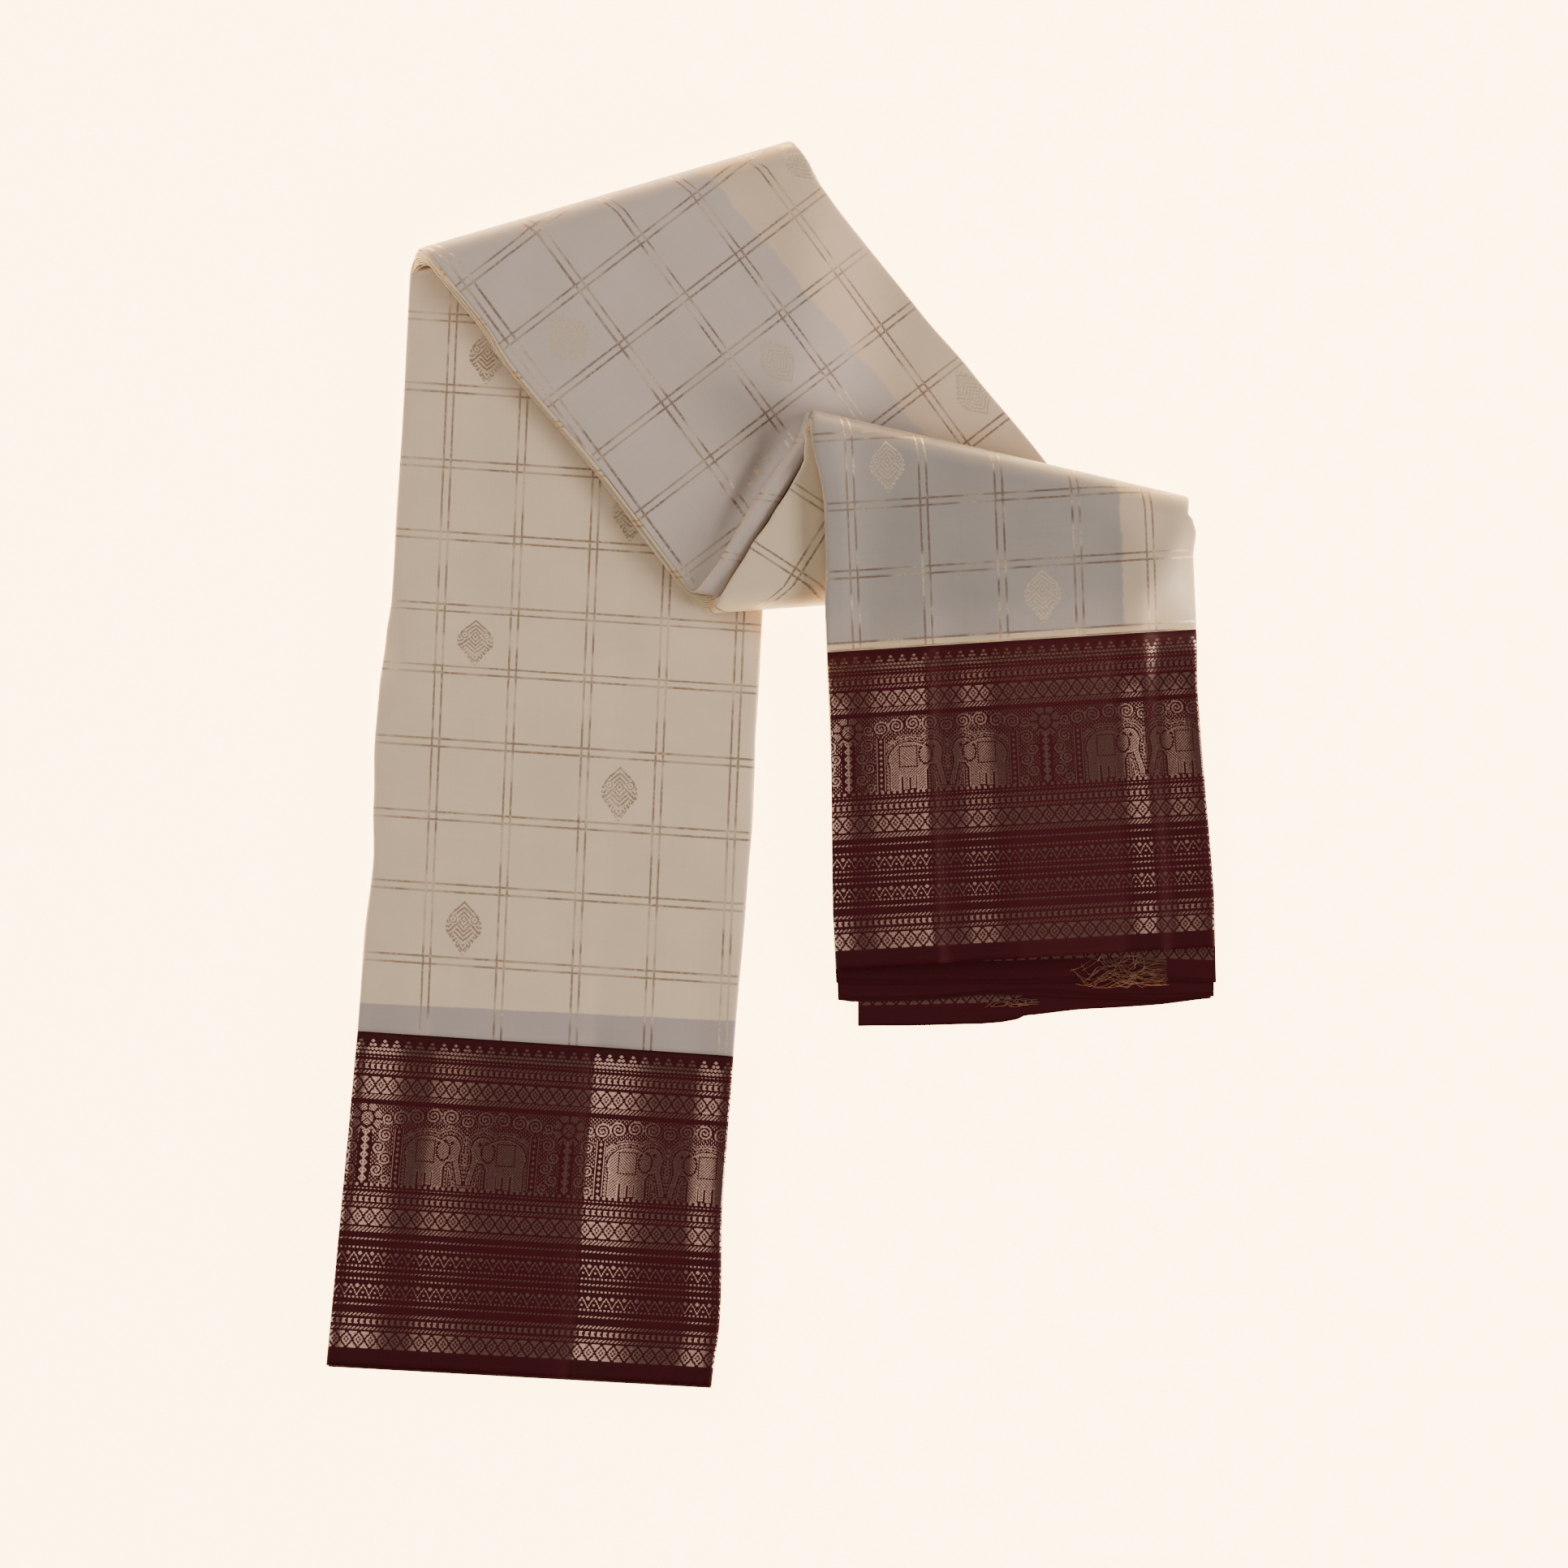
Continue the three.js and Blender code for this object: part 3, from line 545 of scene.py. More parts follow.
def bodySilk(name):
    # plain-woven mulberry silk: a soft satin shine over fine threads, and flat zari yarn in pairs of lines
    look = bodyLooks[name]
    material, add = newMaterial(name)
    uv, across, lengthwise = clothCoordinates(add)
    # the dye runs into the neighbouring colour with a wavering edge
    wander = add("TexNoise", {"Vector": uv, "Scale": 40.0, "Detail": 4.0, "Roughness": 0.6})
    wander = add("MULTIPLY", add("SUBTRACT", wander, 0.5), 12.0)
    base = hexColor(look["color"])
    for key, near, far, blur, waver in (("greyLeftOf", across, lengthwise, 1.0, 1.0),
                                        ("greyBelow", lengthwise, across, 0.5, 0.12)):
        if key in look:
            edge = add("MULTIPLY_ADD", wander, waver, near)
            edge = add("SUBTRACT", edge, add("MULTIPLY", far, look["greyLean"]))
            grey = add("MapRange SMOOTHSTEP", edge, look[key] - blur, look[key] + blur, 1.0, 0.0)
            if "paleHem" in look:
                pale = add("MapRange SMOOTHSTEP", lengthwise, look["paleHem"] - 0.6, look["paleHem"])
                grey = add("MULTIPLY", grey, pale)
            base = add("Mix RGBA", {0: grey, 6: base, 7: hexColor(look["other"])}, out=2)
    threads = [add("Mapping", {"Vector": uv, "Scale": scale}) for scale in ((800, 14, 1), (14, 800, 1))]
    streaks = add("ADD", *(add("TexNoise", {"Vector": place, "Scale": 1.0, "Detail": 3.0, "Roughness": 0.6})
                           for place in threads))
    # painted shade: soft cloudy bands darken and lighten the silk, standing in for light and shade over the
    # cloth's gentle waves; the thread streaks on top are the weave's own tone
    paintedShadeBands = add("TexNoise", {"Vector": uv, "Scale": 26.0, "Detail": 3.0})
    shade = add("MULTIPLY_ADD", paintedShadeBands, 0.22, 0.81)
    shade = add("MULTIPLY_ADD", streaks, 0.08, shade)
    base = add("Mix RGBA", {0: 1.0, 6: base, 7: shade}, out=2, blend_type="MULTIPLY")
    # the zari yarn dips under the silk here and there, so it shows as short floats; it is paler lengthwise only
    # as painted highlight
    alongLines = pairMask(add, across, look["pitchU"], look["lineU"])
    crossLines = pairMask(add, lengthwise, look["pitchV"], look["lineV"])
    if "noLineBelow" in look:
        above = add("GREATER_THAN", lengthwise, look["noLineBelow"])
        crossLines = add("MULTIPLY", crossLines, above)
    floats = add("TexNoise", {"Vector": uv, "Scale": 700.0, "Detail": 1.0})
    dashes = add("MULTIPLY", add("ADD", across, lengthwise), 2 * math.pi / zariLines["dashPitch"])
    dashes = add("MapRange SMOOTHSTEP", add("SINE", dashes), -0.6, 0.5, 0.55, 1.0)
    cover = add("MapRange SMOOTHSTEP", floats, 0.34, 0.52, 0.5, 1.0)
    cover = add("MULTIPLY", cover, dashes)
    bud = flowerMask(add, across, lengthwise, look["flower"])
    yarn = add("MULTIPLY", add("MAXIMUM", alongLines, crossLines), cover)
    mask = add("MAXIMUM", yarn, add("MULTIPLY", bud, zariLines["budCover"]))
    if "paleHem" in look:
        mask = add("MULTIPLY", mask, add("MapRange SMOOTHSTEP", lengthwise, 0.2, 0.5))
    # painted highlight: in noise patches, on the lengthwise lines and on the buds, the zari goes from its shaded
    # brown to pale gold, standing in for glints; the metallic shader also reflects the real lamps
    paintedGlintPatches = add("TexNoise", {"Vector": uv, "Scale": 45.0, "Detail": 2.0})
    paintedGlintPatches = add("MapRange SMOOTHSTEP", paintedGlintPatches, 0.42, 0.6)
    paintedGleam = add("MULTIPLY", paintedGlintPatches, add("MULTIPLY_ADD", alongLines, 0.3, floats))
    paintedGleam = add("MAXIMUM", paintedGleam, add("MULTIPLY", bud, look["budPaintedGleam"]))
    dull, bright = map(hexColor, zariLines["colors"])
    gilt = add("Mix RGBA", {0: paintedGleam, 6: dull, 7: bright}, out=2)
    metal = add("MapRange SMOOTHSTEP", paintedGleam, 0.0, 0.8, 0.82, 0.6)
    weaveShader(add, (uv, across, lengthwise), mask, base, gilt, finishes["body"], Metallic=metal)
    return material


# the border's bands from the seam to the selvedge; one cell is 0.5 mm, and a repeat is 12 cells
borderCell = 0.5
bandRepeat = 12
bands = [  # distance from the seam in mm, length in mm, and the kind of pattern
    (3.0, 8.5, "temple"), (12.0, 0.5, "dots"), (14.0, 1.5, "twill"), (16.0, 2.5, "bars"), (19.5, 1.5, "twill"),
    (22.5, 8.5, "diamonds"), (31.5, 2.5, "twill"), (79.5, 0.5, "dots"), (81.5, 1.5, "twill"), (84.0, 2.5, "bars"),
    (87.5, 1.5, "twill"), (90.0, 8.5, "diamonds"), (99.5, 2.5, "twill"), (105.0, 1.0, "twill"),
    (109.5, 1.0, "dots"), (111.5, 6.5, "zigzag"), (119.0, 1.0, "dots"), (122.0, 1.0, "twill"),
    (125.5, 1.0, "dots"), (128.0, 6.5, "zigzag"), (135.0, 1.0, "dots"), (138.5, 1.0, "twill"),
    (143.5, 1.5, "twill"), (146.5, 2.5, "bars"), (150.5, 1.5, "twill"), (153.0, 8.5, "diamonds"),
]


def bandMark(kind, column, row, rows):
    # whether zari covers a cell of a band's repeat
    x = abs(column - 5.5)
    y = abs(row - (rows - 1) / 2)
    if kind == "temple":
        step = round((row - 2) / 4)
        across = [2.0, 6.0] if step % 2 else [0.0, 4.0]
        return min(abs(x - c) + abs(row - 2 - 4 * step) for c in across if c <= 2 * step) < 2.1
    if kind == "twill":
        return (column + row) % 4 < 2
    if kind == "bars":
        return column % 6 < 3 or row in (0, rows - 1) and column % 6 < 4
    if kind == "diamonds":
        reach = x * 1.42 + y
        return 4.0 <= reach < 7.0 or reach < 2.0 or reach > 10.4
    if kind == "zigzag":
        wave = abs(row - (1.5 + x * 1.75))
        below = x + abs(row - 9.5)
        above = (5.5 - x) + abs(row - 2.5)
        return wave < 1.1 or below < 1.6 or above < 1.6
    return column % 4 < 2


figure = {"start": 36.5, "rows": 84, "columns": 102, "centre": 60.5, "rowsPerRamp": 28, "bits": 17}
scrolls = [  # centre and reach in mm, and the hand of the turn
    (8.5, 4.6, 4.4, 1), (17.5, 4.4, 4.2, -1), (26, 5.4, 4.2, 1), (34, 6.5, 4.2, -1), (41, 15.5, 3.6, -1),
    (44.2, 22.0, 3.4, 1), (40.4, 27.5, 3.6, -1), (44.2, 33.5, 3.4, 1), (40.0, 38.0, 2.6, -1), (40.5, 7.0, 3.2, 1),
    (0.5, 6.0, 3.6, 1),
]


def oval(x, y, cx, cy, a, b):
    return (math.hypot((x - cx) / a, (y - cy) / b) - 1) * min(a, b)


def box(x, y, cx, cy, a, b):
    return max(abs(x - cx) - a, abs(y - cy) - b)


def spiral(x, y, cx, cy, hand):
    far = math.hypot(x - cx, y - cy)
    turn = math.atan2(y - cy, (x - cx) * hand) / (2 * math.pi)
    return (far / 1.75 - turn) % 1 < 0.5


def figureMark(x, y):
    # the wide band, in mm from its mirror line and its top: elephants that meet under scrolls, and a stem
    trunk = max(abs(x - 3.4 - 1.3 * math.sin((y - 18) / 4.5)) - 1.3, abs(y - 29) - 9.5)
    legs = min(box(x, y, 26.8, 34, 2.6, 6.6), box(x, y, 21.6, 34, 1.5, 6.0), box(x, y, 13.4, 34, 2.6, 6.6),
               box(x, y, 17.6, 33.5, 1.3, 6.0))
    elephant = min(oval(x, y, 19.5, 24, 10.8, 9.6), oval(x, y, 8.2, 20.5, 5.4, 6.6), trunk, legs)
    ear = oval(x, y, 11.3, 21.5, 3.4, 5.0)
    saddle = box(x, y, 20.2, 22.3, 4.6, 5.4)
    if elephant < 0:
        if elephant > -0.6:
            return True
        if abs(ear) < 0.35 or oval(x, y, 7.0, 17.5, 0.8, 0.8) < 0:
            return False
        if abs(saddle) < 0.3:
            return False
        if saddle < 0:
            return (x + y) % 1.5 < 0.8
        return (x - y) % 1.5 < 0.8
    if y > 40.6:
        return x % 3 < 1.5
    if elephant < 0.7:
        return False
    if abs(x - 34.2) < 2.6 and y > 12:
        return abs(abs(x - 34.2) - 2.1) < 0.3 or (abs(x - 34.2) + abs(y % 3 - 1.5)) < 1.1
    if x < 32 and y < 40:
        if elephant < 1.4:
            return (x * 2 + y * 2) % 3 < 2
        if 2.2 < elephant < 2.8:
            return True
        if 3.4 < elephant < 4.0:
            return (x - y) % 1.5 < 0.75
    if x > 48.2 and y > 13:
        return abs((51 - x) + abs(y % 4 - 2) * 0.9 - 1.6) < 0.5 or 51 - x < 0.5
    bloom = math.hypot(x - 51, (y - 7.5) * 0.9)
    if bloom < 7.5:
        angle = math.atan2(y - 7.5, x - 51)
        if abs(math.sin(4 * angle)) < 0.3 or abs(bloom - 3.6) < 0.5:
            return False
        return (x + y) % 1.5 < 0.8
    for cx, cy, reach, hand in scrolls:
        if math.hypot(x - cx, y - cy) < reach:
            return spiral(x, y, cx, cy, hand)
    return (x * 2 + y * 2) % 4 < 2 and (x * 2 - y * 2) % 4 < 2


def borderMask(add, across, lengthwise):
    # zari where the charts say so; lengthwise is the distance from the seam, in mm
    rows = [0.0] * 384
    for start, long, kind in bands:
        count = round(long / borderCell)
        for i in range(count):
            rows[round(start / borderCell) + i] = rowBits(bandMark(kind, c, i, count) for c in range(bandRepeat))
    row = add("FLOOR", add("DIVIDE", lengthwise, borderCell))
    place = add("WRAP", add("DIVIDE", across, borderCell), float(bandRepeat), 0.0)
    place = add("FLOOR", place)
    total = 0.0
    for first in range(0, len(rows), rampRows):
        numbers = rows[first:first + rampRows]
        if any(numbers):
            parts, here = chartRamp(add, [(n, n, n) for n in numbers], row, first)
            total = add("MULTIPLY_ADD", parts[0], here, total)
    bandMask = bitOf(add, total, place)

    span, bits, count = figure["columns"], figure["bits"], figure["rowsPerRamp"]
    row = add("DIVIDE", add("SUBTRACT", lengthwise, figure["start"]), borderCell)
    row = add("FLOOR", row)
    column = add("DIVIDE", add("SUBTRACT", across, figure["centre"]), borderCell)
    column = add("PINGPONG", column, float(span))
    column = add("FLOOR", add("MINIMUM", span - 0.1, column))
    group = add("FLOOR", add("DIVIDE", column, float(bits)))
    place = add("SUBTRACT", column, add("MULTIPLY", group, float(bits)))
    total = 0.0
    for first in range(0, figure["rows"], count):
        marks = [[figureMark((c + 0.5) * borderCell, (r + 0.5) * borderCell) for c in range(span)]
                 for r in range(first, first + count)]
        for third in (0, 3):  # a ramp's three channels hold three groups of columns
            numbers = [tuple(rowBits(line[bits * k:bits * k + bits]) for k in range(third, third + 3))
                       for line in marks]
            parts, here = chartRamp(add, numbers, row, first)
            for k in range(3):
                chosen = add("COMPARE", group, float(third + k), 0.3)
                chosen = add("MULTIPLY", chosen, here)
                total = add("MULTIPLY_ADD", parts[k], chosen, total)
    return add("MAXIMUM", bandMask, bitOf(add, total, place))


borderLook = {"selvedge": "#2f000a", "ground": "#34020d", "zari": "#b8988e", "figured": (12.0, 162.0)}


def borderSilk(name):
    # maroon silk brocaded with flat gilt thread, which is dark until it catches a light
    material, add = newMaterial(name)
    uv, across, lengthwise = clothCoordinates(add)
    worn = add("TexNoise", {"Vector": uv, "Scale": 900.0, "Detail": 2.0})
    worn = add("MapRange SMOOTHSTEP", worn, 0.32, 0.5, 0.42, 0.82)
    mask = add("MULTIPLY", borderMask(add, across, lengthwise), worn)
    # the ground under the figures is covered by the zari's own weft, so it is browner than the selvedge
    start, stop = borderLook["figured"]
    inFigures = add("MapRange SMOOTHSTEP", lengthwise, stop - 1, stop + 1, 1.0, 0.0)
    inFigures = add("MULTIPLY", add("MapRange SMOOTHSTEP", lengthwise, start - 1, start + 1), inFigures)
    selvedge, ground = (hexColor(borderLook[key]) for key in ("selvedge", "ground"))
    ground = add("Mix RGBA", {0: inFigures, 6: selvedge, 7: ground}, out=2)
    weft = add("Mapping", {"Vector": uv, "Scale": (20, 900, 1)})
    streaks = add("TexNoise", {"Vector": weft, "Scale": 1.0, "Detail": 3.0, "Roughness": 0.6})
    shade = add("MULTIPLY_ADD", streaks, 0.5, 0.75)
    ground = add("Mix RGBA", {0: 1.0, 6: ground, 7: shade}, out=2, blend_type="MULTIPLY")
    weaveShader(add, (uv, across, lengthwise), mask, ground, hexColor(borderLook["zari"]), finishes["border"])
    return material


pleatLook = {
    "seams": [(171.0, 0.0, 1.0), (1117.2, 1.0, 0.0)],  # along the pleats in mm, the body's share before and after
    "cream": ("#a8967e", "#c2b19c"), "maroon": "#3a0e16", "zari": "#c79f74", "pitch": 36.6, "line": 210.0,
}


def pleatSilk(name):
    # the folded edges of the pleats: cream, with maroon where the borders are, by the cloth's own length
    material, add = newMaterial(name)
    uv, across, lengthwise = clothCoordinates(add)
    body = 1.0
    for seam, before, after in pleatLook["seams"]:
        side = add("MapRange SMOOTHSTEP", lengthwise, seam - 0.4, seam + 0.4, before, after)
        body = add("MULTIPLY", side, body)
    grain = add("Mapping", {"Vector": uv, "Scale": (300, 20, 1)})
    streaks = add("TexNoise", {"Vector": grain, "Scale": 1.0, "Detail": 3.0, "Roughness": 0.6})
    dark, pale = map(hexColor, pleatLook["cream"])
    cream = add("Mix RGBA", {0: streaks, 6: dark, 7: pale}, out=2)
    color = add("Mix RGBA", {0: body, 6: hexColor(pleatLook["maroon"]), 7: cream}, out=2)
    inBody = add("MULTIPLY", add("MapRange SMOOTHSTEP", lengthwise, 171.0, 172.0), body)
    mask = add("MULTIPLY", pairMask(add, lengthwise, pleatLook["pitch"], pleatLook["line"]), inBody)
    weaveShader(add, (uv, across, lengthwise), mask, color, hexColor(pleatLook["zari"]), finishes["pleats"])
    return material


threadLook = {"colors": ("#6b4238", "#b0917a"), "roughness": 0.4, "turns": 900.0}


def threadZari(name):
    # loose gilt thread: silver-gilt strip wound on silk, bright with darker turns
    material, add = newMaterial(name)
    place = add("TexCoord", out="Object")
    tone = add("TexNoise", {"Vector": place, "Scale": threadLook["turns"], "Detail": 2.0})
    dark, bright = map(hexColor, threadLook["colors"])
    color = add("Mix RGBA", {0: tone, 6: dark, 7: bright}, out=2)
    bump = add("Bump", {"Strength": 0.3, "Distance": 0.0001, "Height": tone})
    zari = add("BsdfPrincipled", {"Base Color": color, "Metallic": 1.0, "Roughness": threadLook["roughness"],
                                  "Normal": bump})
    add("OutputMaterial", zari, out=None)
    return material


materials = {name: bodySilk(name) for name in bodyLooks}
for name, make in (("borderBrocade", borderSilk), ("pleatedSilk", pleatSilk), ("looseZariThread", threadZari)):
    materials[name] = make(name)
print("materials made:", len(materials))


# pieces

def onlySelect(piece=None):
    for other in bpy.context.selected_objects:
        other.select_set(False)
    if piece:
        piece.select_set(True)
        bpy.context.view_layer.objects.active = piece


def layWeave(mesh, uvs):
    # the cloth's own distances, in metres, as the UV map that the materials read
    while mesh.uv_layers:
        mesh.uv_layers.remove(mesh.uv_layers[0])
    layer = mesh.uv_layers.new(name="weave")
    corners = np.empty(len(mesh.loops), dtype=np.int32)
    mesh.loops.foreach_get("vertex_index", corners)
    layer.data.foreach_set("uv", (uvs[corners] * mm).astype(np.float32).ravel())


def sheetFromGrid(name, points, uvs, material, facesDown, wall):
    # a grid primitive, moved point by point on to the strip, turned outwards and given the cloth's wall
    rows, columns = points.shape[:2]
    onlySelect()
    bpy.ops.mesh.primitive_grid_add(x_subdivisions=columns - 1, y_subdivisions=rows - 1, size=1)
    piece = bpy.context.object
    mesh = piece.data
    piece.name = mesh.name = name
    mesh.vertices.foreach_set("co", (points.reshape(-1, 3) * mm).astype(np.float32).ravel())
    layWeave(mesh, uvs.reshape(-1, 2))
    mesh.materials.append(materials[material])
    mesh.update()
    onlySelect(piece)
    bpy.ops.object.shade_smooth()
    if facesDown(mesh):
        mesh.flip_normals()
    solid = piece.modifiers.new("clothWall", "SOLIDIFY")
    solid.thickness = wall * mm
    solid.offset = -1.0
    bpy.ops.object.modifier_apply(modifier="clothWall")
    piece.select_set(False)
    return piece


def shellFrom(name, points, uvs, faces, material, creaseAngle=None):
    # a closed shell of many layers
    mesh = bpy.data.meshes.new(name)
    mesh.from_pydata((np.array(points) * mm).tolist(), [], faces)
    layWeave(mesh, np.array(uvs))
    mesh.materials.append(materials[material])
    piece = bpy.data.objects.new(name, mesh)
    bpy.context.collection.objects.link(piece)
    onlySelect(piece)
    bpy.ops.object.mode_set(mode="EDIT")
    bpy.ops.mesh.select_all(action="SELECT")
    bpy.ops.mesh.normals_make_consistent(inside=False)
    bpy.ops.object.mode_set(mode="OBJECT")
    if creaseAngle:
        bpy.ops.object.shade_smooth_by_angle(angle=math.radians(creaseAngle))
    else:
        bpy.ops.object.shade_smooth()
    piece.select_set(False)
    return piece


sheets = {"wall": 0.35, "turnedWall": 0.5, "edge": 4.5}
curl = [(1.5, 2.2), (0.8, 2.0), (0.3, 1.5), (0.1, 0.95), (0.35, 0.42), (1.1, 0.12), (2.4, 0.0)]  # in and down


def sheetSection(leftIn, rightIn, spacing):
    # distance in from the left edge and depth, for a sheet that turns down over the pleats at its edges
    width, edge = strip["width"], sheets["edge"]
    count = max(8, round((width - leftIn - rightIn - 6) / spacing))
    middle = np.linspace(leftIn + edge, width - rightIn - edge, count)
    u = [leftIn + e for e, _ in curl] + list(middle) + [width - rightIn - e for e, _ in reversed(curl)]
    w = [d for _, d in curl] + [0.0] * count + [d for _, d in reversed(curl)]
    return np.array(u), np.array(w)


def stripSheet(name, side, stations, lengthAt, material, leftIn=0.3, spacing=3.0):
    # one outermost layer of the strip over the given stations
    edge, full = sheets["edge"], strip["width"]
    sections, uvs = [], []
    for i, station in enumerate(stations):
        width = stationWidth(station)
        u, depth = sheetSection(leftIn, 0.3, spacing)
        inner = edge + np.clip((u - edge) / (full - 2 * edge), 0, 1) * (width - 2 * edge)
        u = np.where(u < edge, u, np.where(u > full - edge, u + width - full, inner))
        depth = depth if side == "A" else strip["depth"] - depth
        sections.append(stripPoints(station, u, depth))
        if lengthAt is None:
            uvs.append(clothPlace(station, u, depth))
        else:
            uvs.append(np.column_stack((u * full / width, np.full(len(u), lengthAt[i]))))
    points = np.array(sections)
    centre = points[len(points) // 2, points.shape[1] // 2]

    def facesDown(mesh):
        middle = [p for p in mesh.polygons if abs(p.center.x - centre[0] * mm) < 0.004
                  and abs(p.center.y - centre[1] * mm) < 0.004 and abs(p.center.z - centre[2] * mm) < 0.003]
        return sum(p.normal.z for p in middle) < 0

    return sheetFromGrid(name, points, np.array(uvs), material, facesDown, sheets["wall"])


clothMaps = {  # how each stretch of body cloth lies: a direction in plan, and places on it with cloth distances
    1: {"across": (1.0, -0.0416, [(-171.7, 30.5), (-134, 68.8), (-95.2, 107.1), (-57.2, 145.4), (-18.8, 183.7)]),
        "lengthwise": (0.0667, 0.9978, [(-149.9, 0.2), (-111.2, 39), (-73.9, 75.6), (-37.5, 112.2), (-0.2, 148.8),
                                        (37.6, 185.4), (68.7, 222), (105.5, 258.6), (142.1, 295.2),
                                        (180.6, 331.8), (216.7, 368.4)])},
    2: {"across": (0.806, 0.592, [(21.2, 30), (66.4, 68.4), (105.4, 106.8), (141.1, 145.2), (176.4, 183.6)]),
        "lengthwise": (0.609, -0.793, [(-252.5, 45), (-68, 229.5)])},
    3: {"across": (0.848, -0.530, [(-40.5, 12), (-2.2, 50.3)]),
        "lengthwise": (0.545, 0.839, [(52.1, 8), (88.7, 44.5), (124.7, 81)])},
    4: {"across": (1.0, 0.04, [(46.1, 16.6), (83, 55), (121.4, 93.4), (160.4, 131.8), (197.4, 170.2)]),
        "lengthwise": (-0.0633, 0.998, [(55, 0), (57.4, 2.4), (93.9, 39), (128.5, 75.6), (164, 112.2),
                                        (201, 149)])},
}


def runOn(value, knots):
    # straight lines between the knots, and on past them at the ends' slopes
    at, to = zip(*knots)
    inner = np.interp(value, at, to)
    below = to[0] + (value - at[0]) * (to[1] - to[0]) / (at[1] - at[0])
    above = to[-1] + (value - at[-1]) * (to[-1] - to[-2]) / (at[-1] - at[-2])
    return np.where(value < at[0], below, np.where(value > at[-1], above, inner))


def clothPlace(station, u, depth):
    # cloth distances of a station's points; a roll is laid out flat in front of the stretch that it leads to
    flat = station.get("upper", station)
    plan = stripPoints(dict(flat, calm=True), u, depth)[:, :2]
    if "upper" in station:
        plan = plan + station["out"] * (1 - station["turned"]) * math.pi * strip["roll"]
    rows = [clothMaps[flat["stretch"]][key] for key in ("across", "lengthwise")]
    return np.column_stack([runOn(plan[:, 0] * x + plan[:, 1] * y, knots) for x, y, knots in rows])


def pathLengths(stations):
    # running length along the middle of the strip's outer side, in mm
    centres = []
    for station in stations:
        depth = strip["depth"] if station.get("outer") == "B" else 0.0
        centres.append(stripPoints(station, np.array([stationWidth(station) / 2]), np.array([depth]))[0])
    return np.cumsum([0.0] + [float(np.linalg.norm(b - a)) for a, b in zip(centres, centres[1:])])


def dress(piece, node):
    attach(piece, "root")
    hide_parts(node)


# the left leg: border then body, side A up
stations = alongRun("leftBorder", 3.0, 0, 0.1)
lengths = strip["border"] - np.array([s["t"] for s in stations]) * strip["border"]
leftBorder = stripSheet("leftBorder", "A", stations, lengths, "borderBrocade", spacing=1.6)
dress(leftBorder, "left_border")

stations = alongRun("leftBody", 3.5, 0.1, 0)
leftBody = stripSheet("leftBody", "A", stations, None, "creamSilk")
dress(leftBody, "left_body")

# the crossing, side B up, with its roll over the top fold
stations = aroundFold("leftBody", "crossing", "top") + alongRun("crossing", 3.0)
crossing = stripSheet("crossingBody", "B", stations, None, "crossingSilk", leftIn=4.0)
dress(crossing, "crossing_body")

# the turn, side A up, with its roll round the under fold
stations = aroundFold("crossing", "turn", "under") + alongRun("turn", 3.0)
turn = stripSheet("turnBody", "A", stations, None, "turnSilk")
dress(turn, "turn_body")

# the right leg, side B up, with its roll over the shoulder fold
stations = aroundFold("turn", "rightBody", "shoulder") + alongRun("rightBody", 3.0, 0, 0.1)
rightBody = stripSheet("rightBody", "B", stations, None, "rightSilk")
dress(rightBody, "right_body")

stations = alongRun("rightBorder", 3.0, 0.1, 0) + alongRun("rightEnd", 3.0)[1:]
whole = runLength("rightBorder") + runLength("rightEnd")
lengths = np.array([-seamDistance(s) for s in stations]) * strip["border"] / whole
rightBorder = stripSheet("rightBorder", "B", stations, lengths, "borderBrocade", spacing=1.6)
dress(rightBorder, "right_border")
print("outermost layers made")

# the pleats between: slabs of a few layers each, with rounded, uneven edges
pleats = {"slabs": 8, "top": 0.75, "wall": 1.12, "pitch": 1.2, "spacing": 7.0, "across": 25, "inset": 0.9,
          "outerInset": 1.4}


def pleatStations():
    spacing = pleats["spacing"]
    parts = alongRun("leftBorder", spacing)[:-1] + alongRun("leftBody", spacing)
    parts += aroundFold("leftBody", "crossing", "top", 12) + alongRun("crossing", spacing)
    parts += aroundFold("crossing", "turn", "under", 12) + alongRun("turn", spacing)
    parts += aroundFold("turn", "rightBody", "shoulder", 12) + alongRun("rightBody", spacing)[:-1]
    parts += alongRun("rightBorder", spacing)
    for part in parts:
        for station in (part, part.get("lower", {}), part.get("upper", {})):
            station["calm"] = True
    return parts


def slabRing(width, leftIn, rightIn, low, high):
    # points round a slab: rounded edges, and points across both faces, pressed together in the middle
    half, mid = (high - low) / 2, (high + low) / 2
    across = leftIn + 1.2 + np.linspace(0.0, 1.0, pleats["across"]) * (width - leftIn - rightIn - 2.4)
    edge = [(0.55, 1.0), (0.12, 0.72), (0.0, 0.0), (0.12, -0.72), (0.55, -1.0)]
    count = len(across)
    u = list(across) + [width - rightIn - e for e, _ in edge]
    u += list(across[::-1]) + [leftIn + e for e, _ in edge]
    w = [mid - half] * count + [mid - half * k for _, k in edge] + [mid + half] * count
    u, w = np.array(u), np.array(w + [mid + half * k for _, k in edge])
    pressed = np.clip((np.minimum(u, width - u) - 3.5) / 4, 0, 1) * 0.4
    return u, w + (strip["depth"] / 2 - w) * pressed


def smoothNoise(count, reach, size):
    raw = rng.normal(size=count + 2 * reach)
    kernel = np.hanning(2 * reach + 1)
    smooth = np.convolve(raw, kernel / kernel.sum(), mode="valid")[:count]
    return size * smooth / max(1e-6, np.abs(smooth).max())


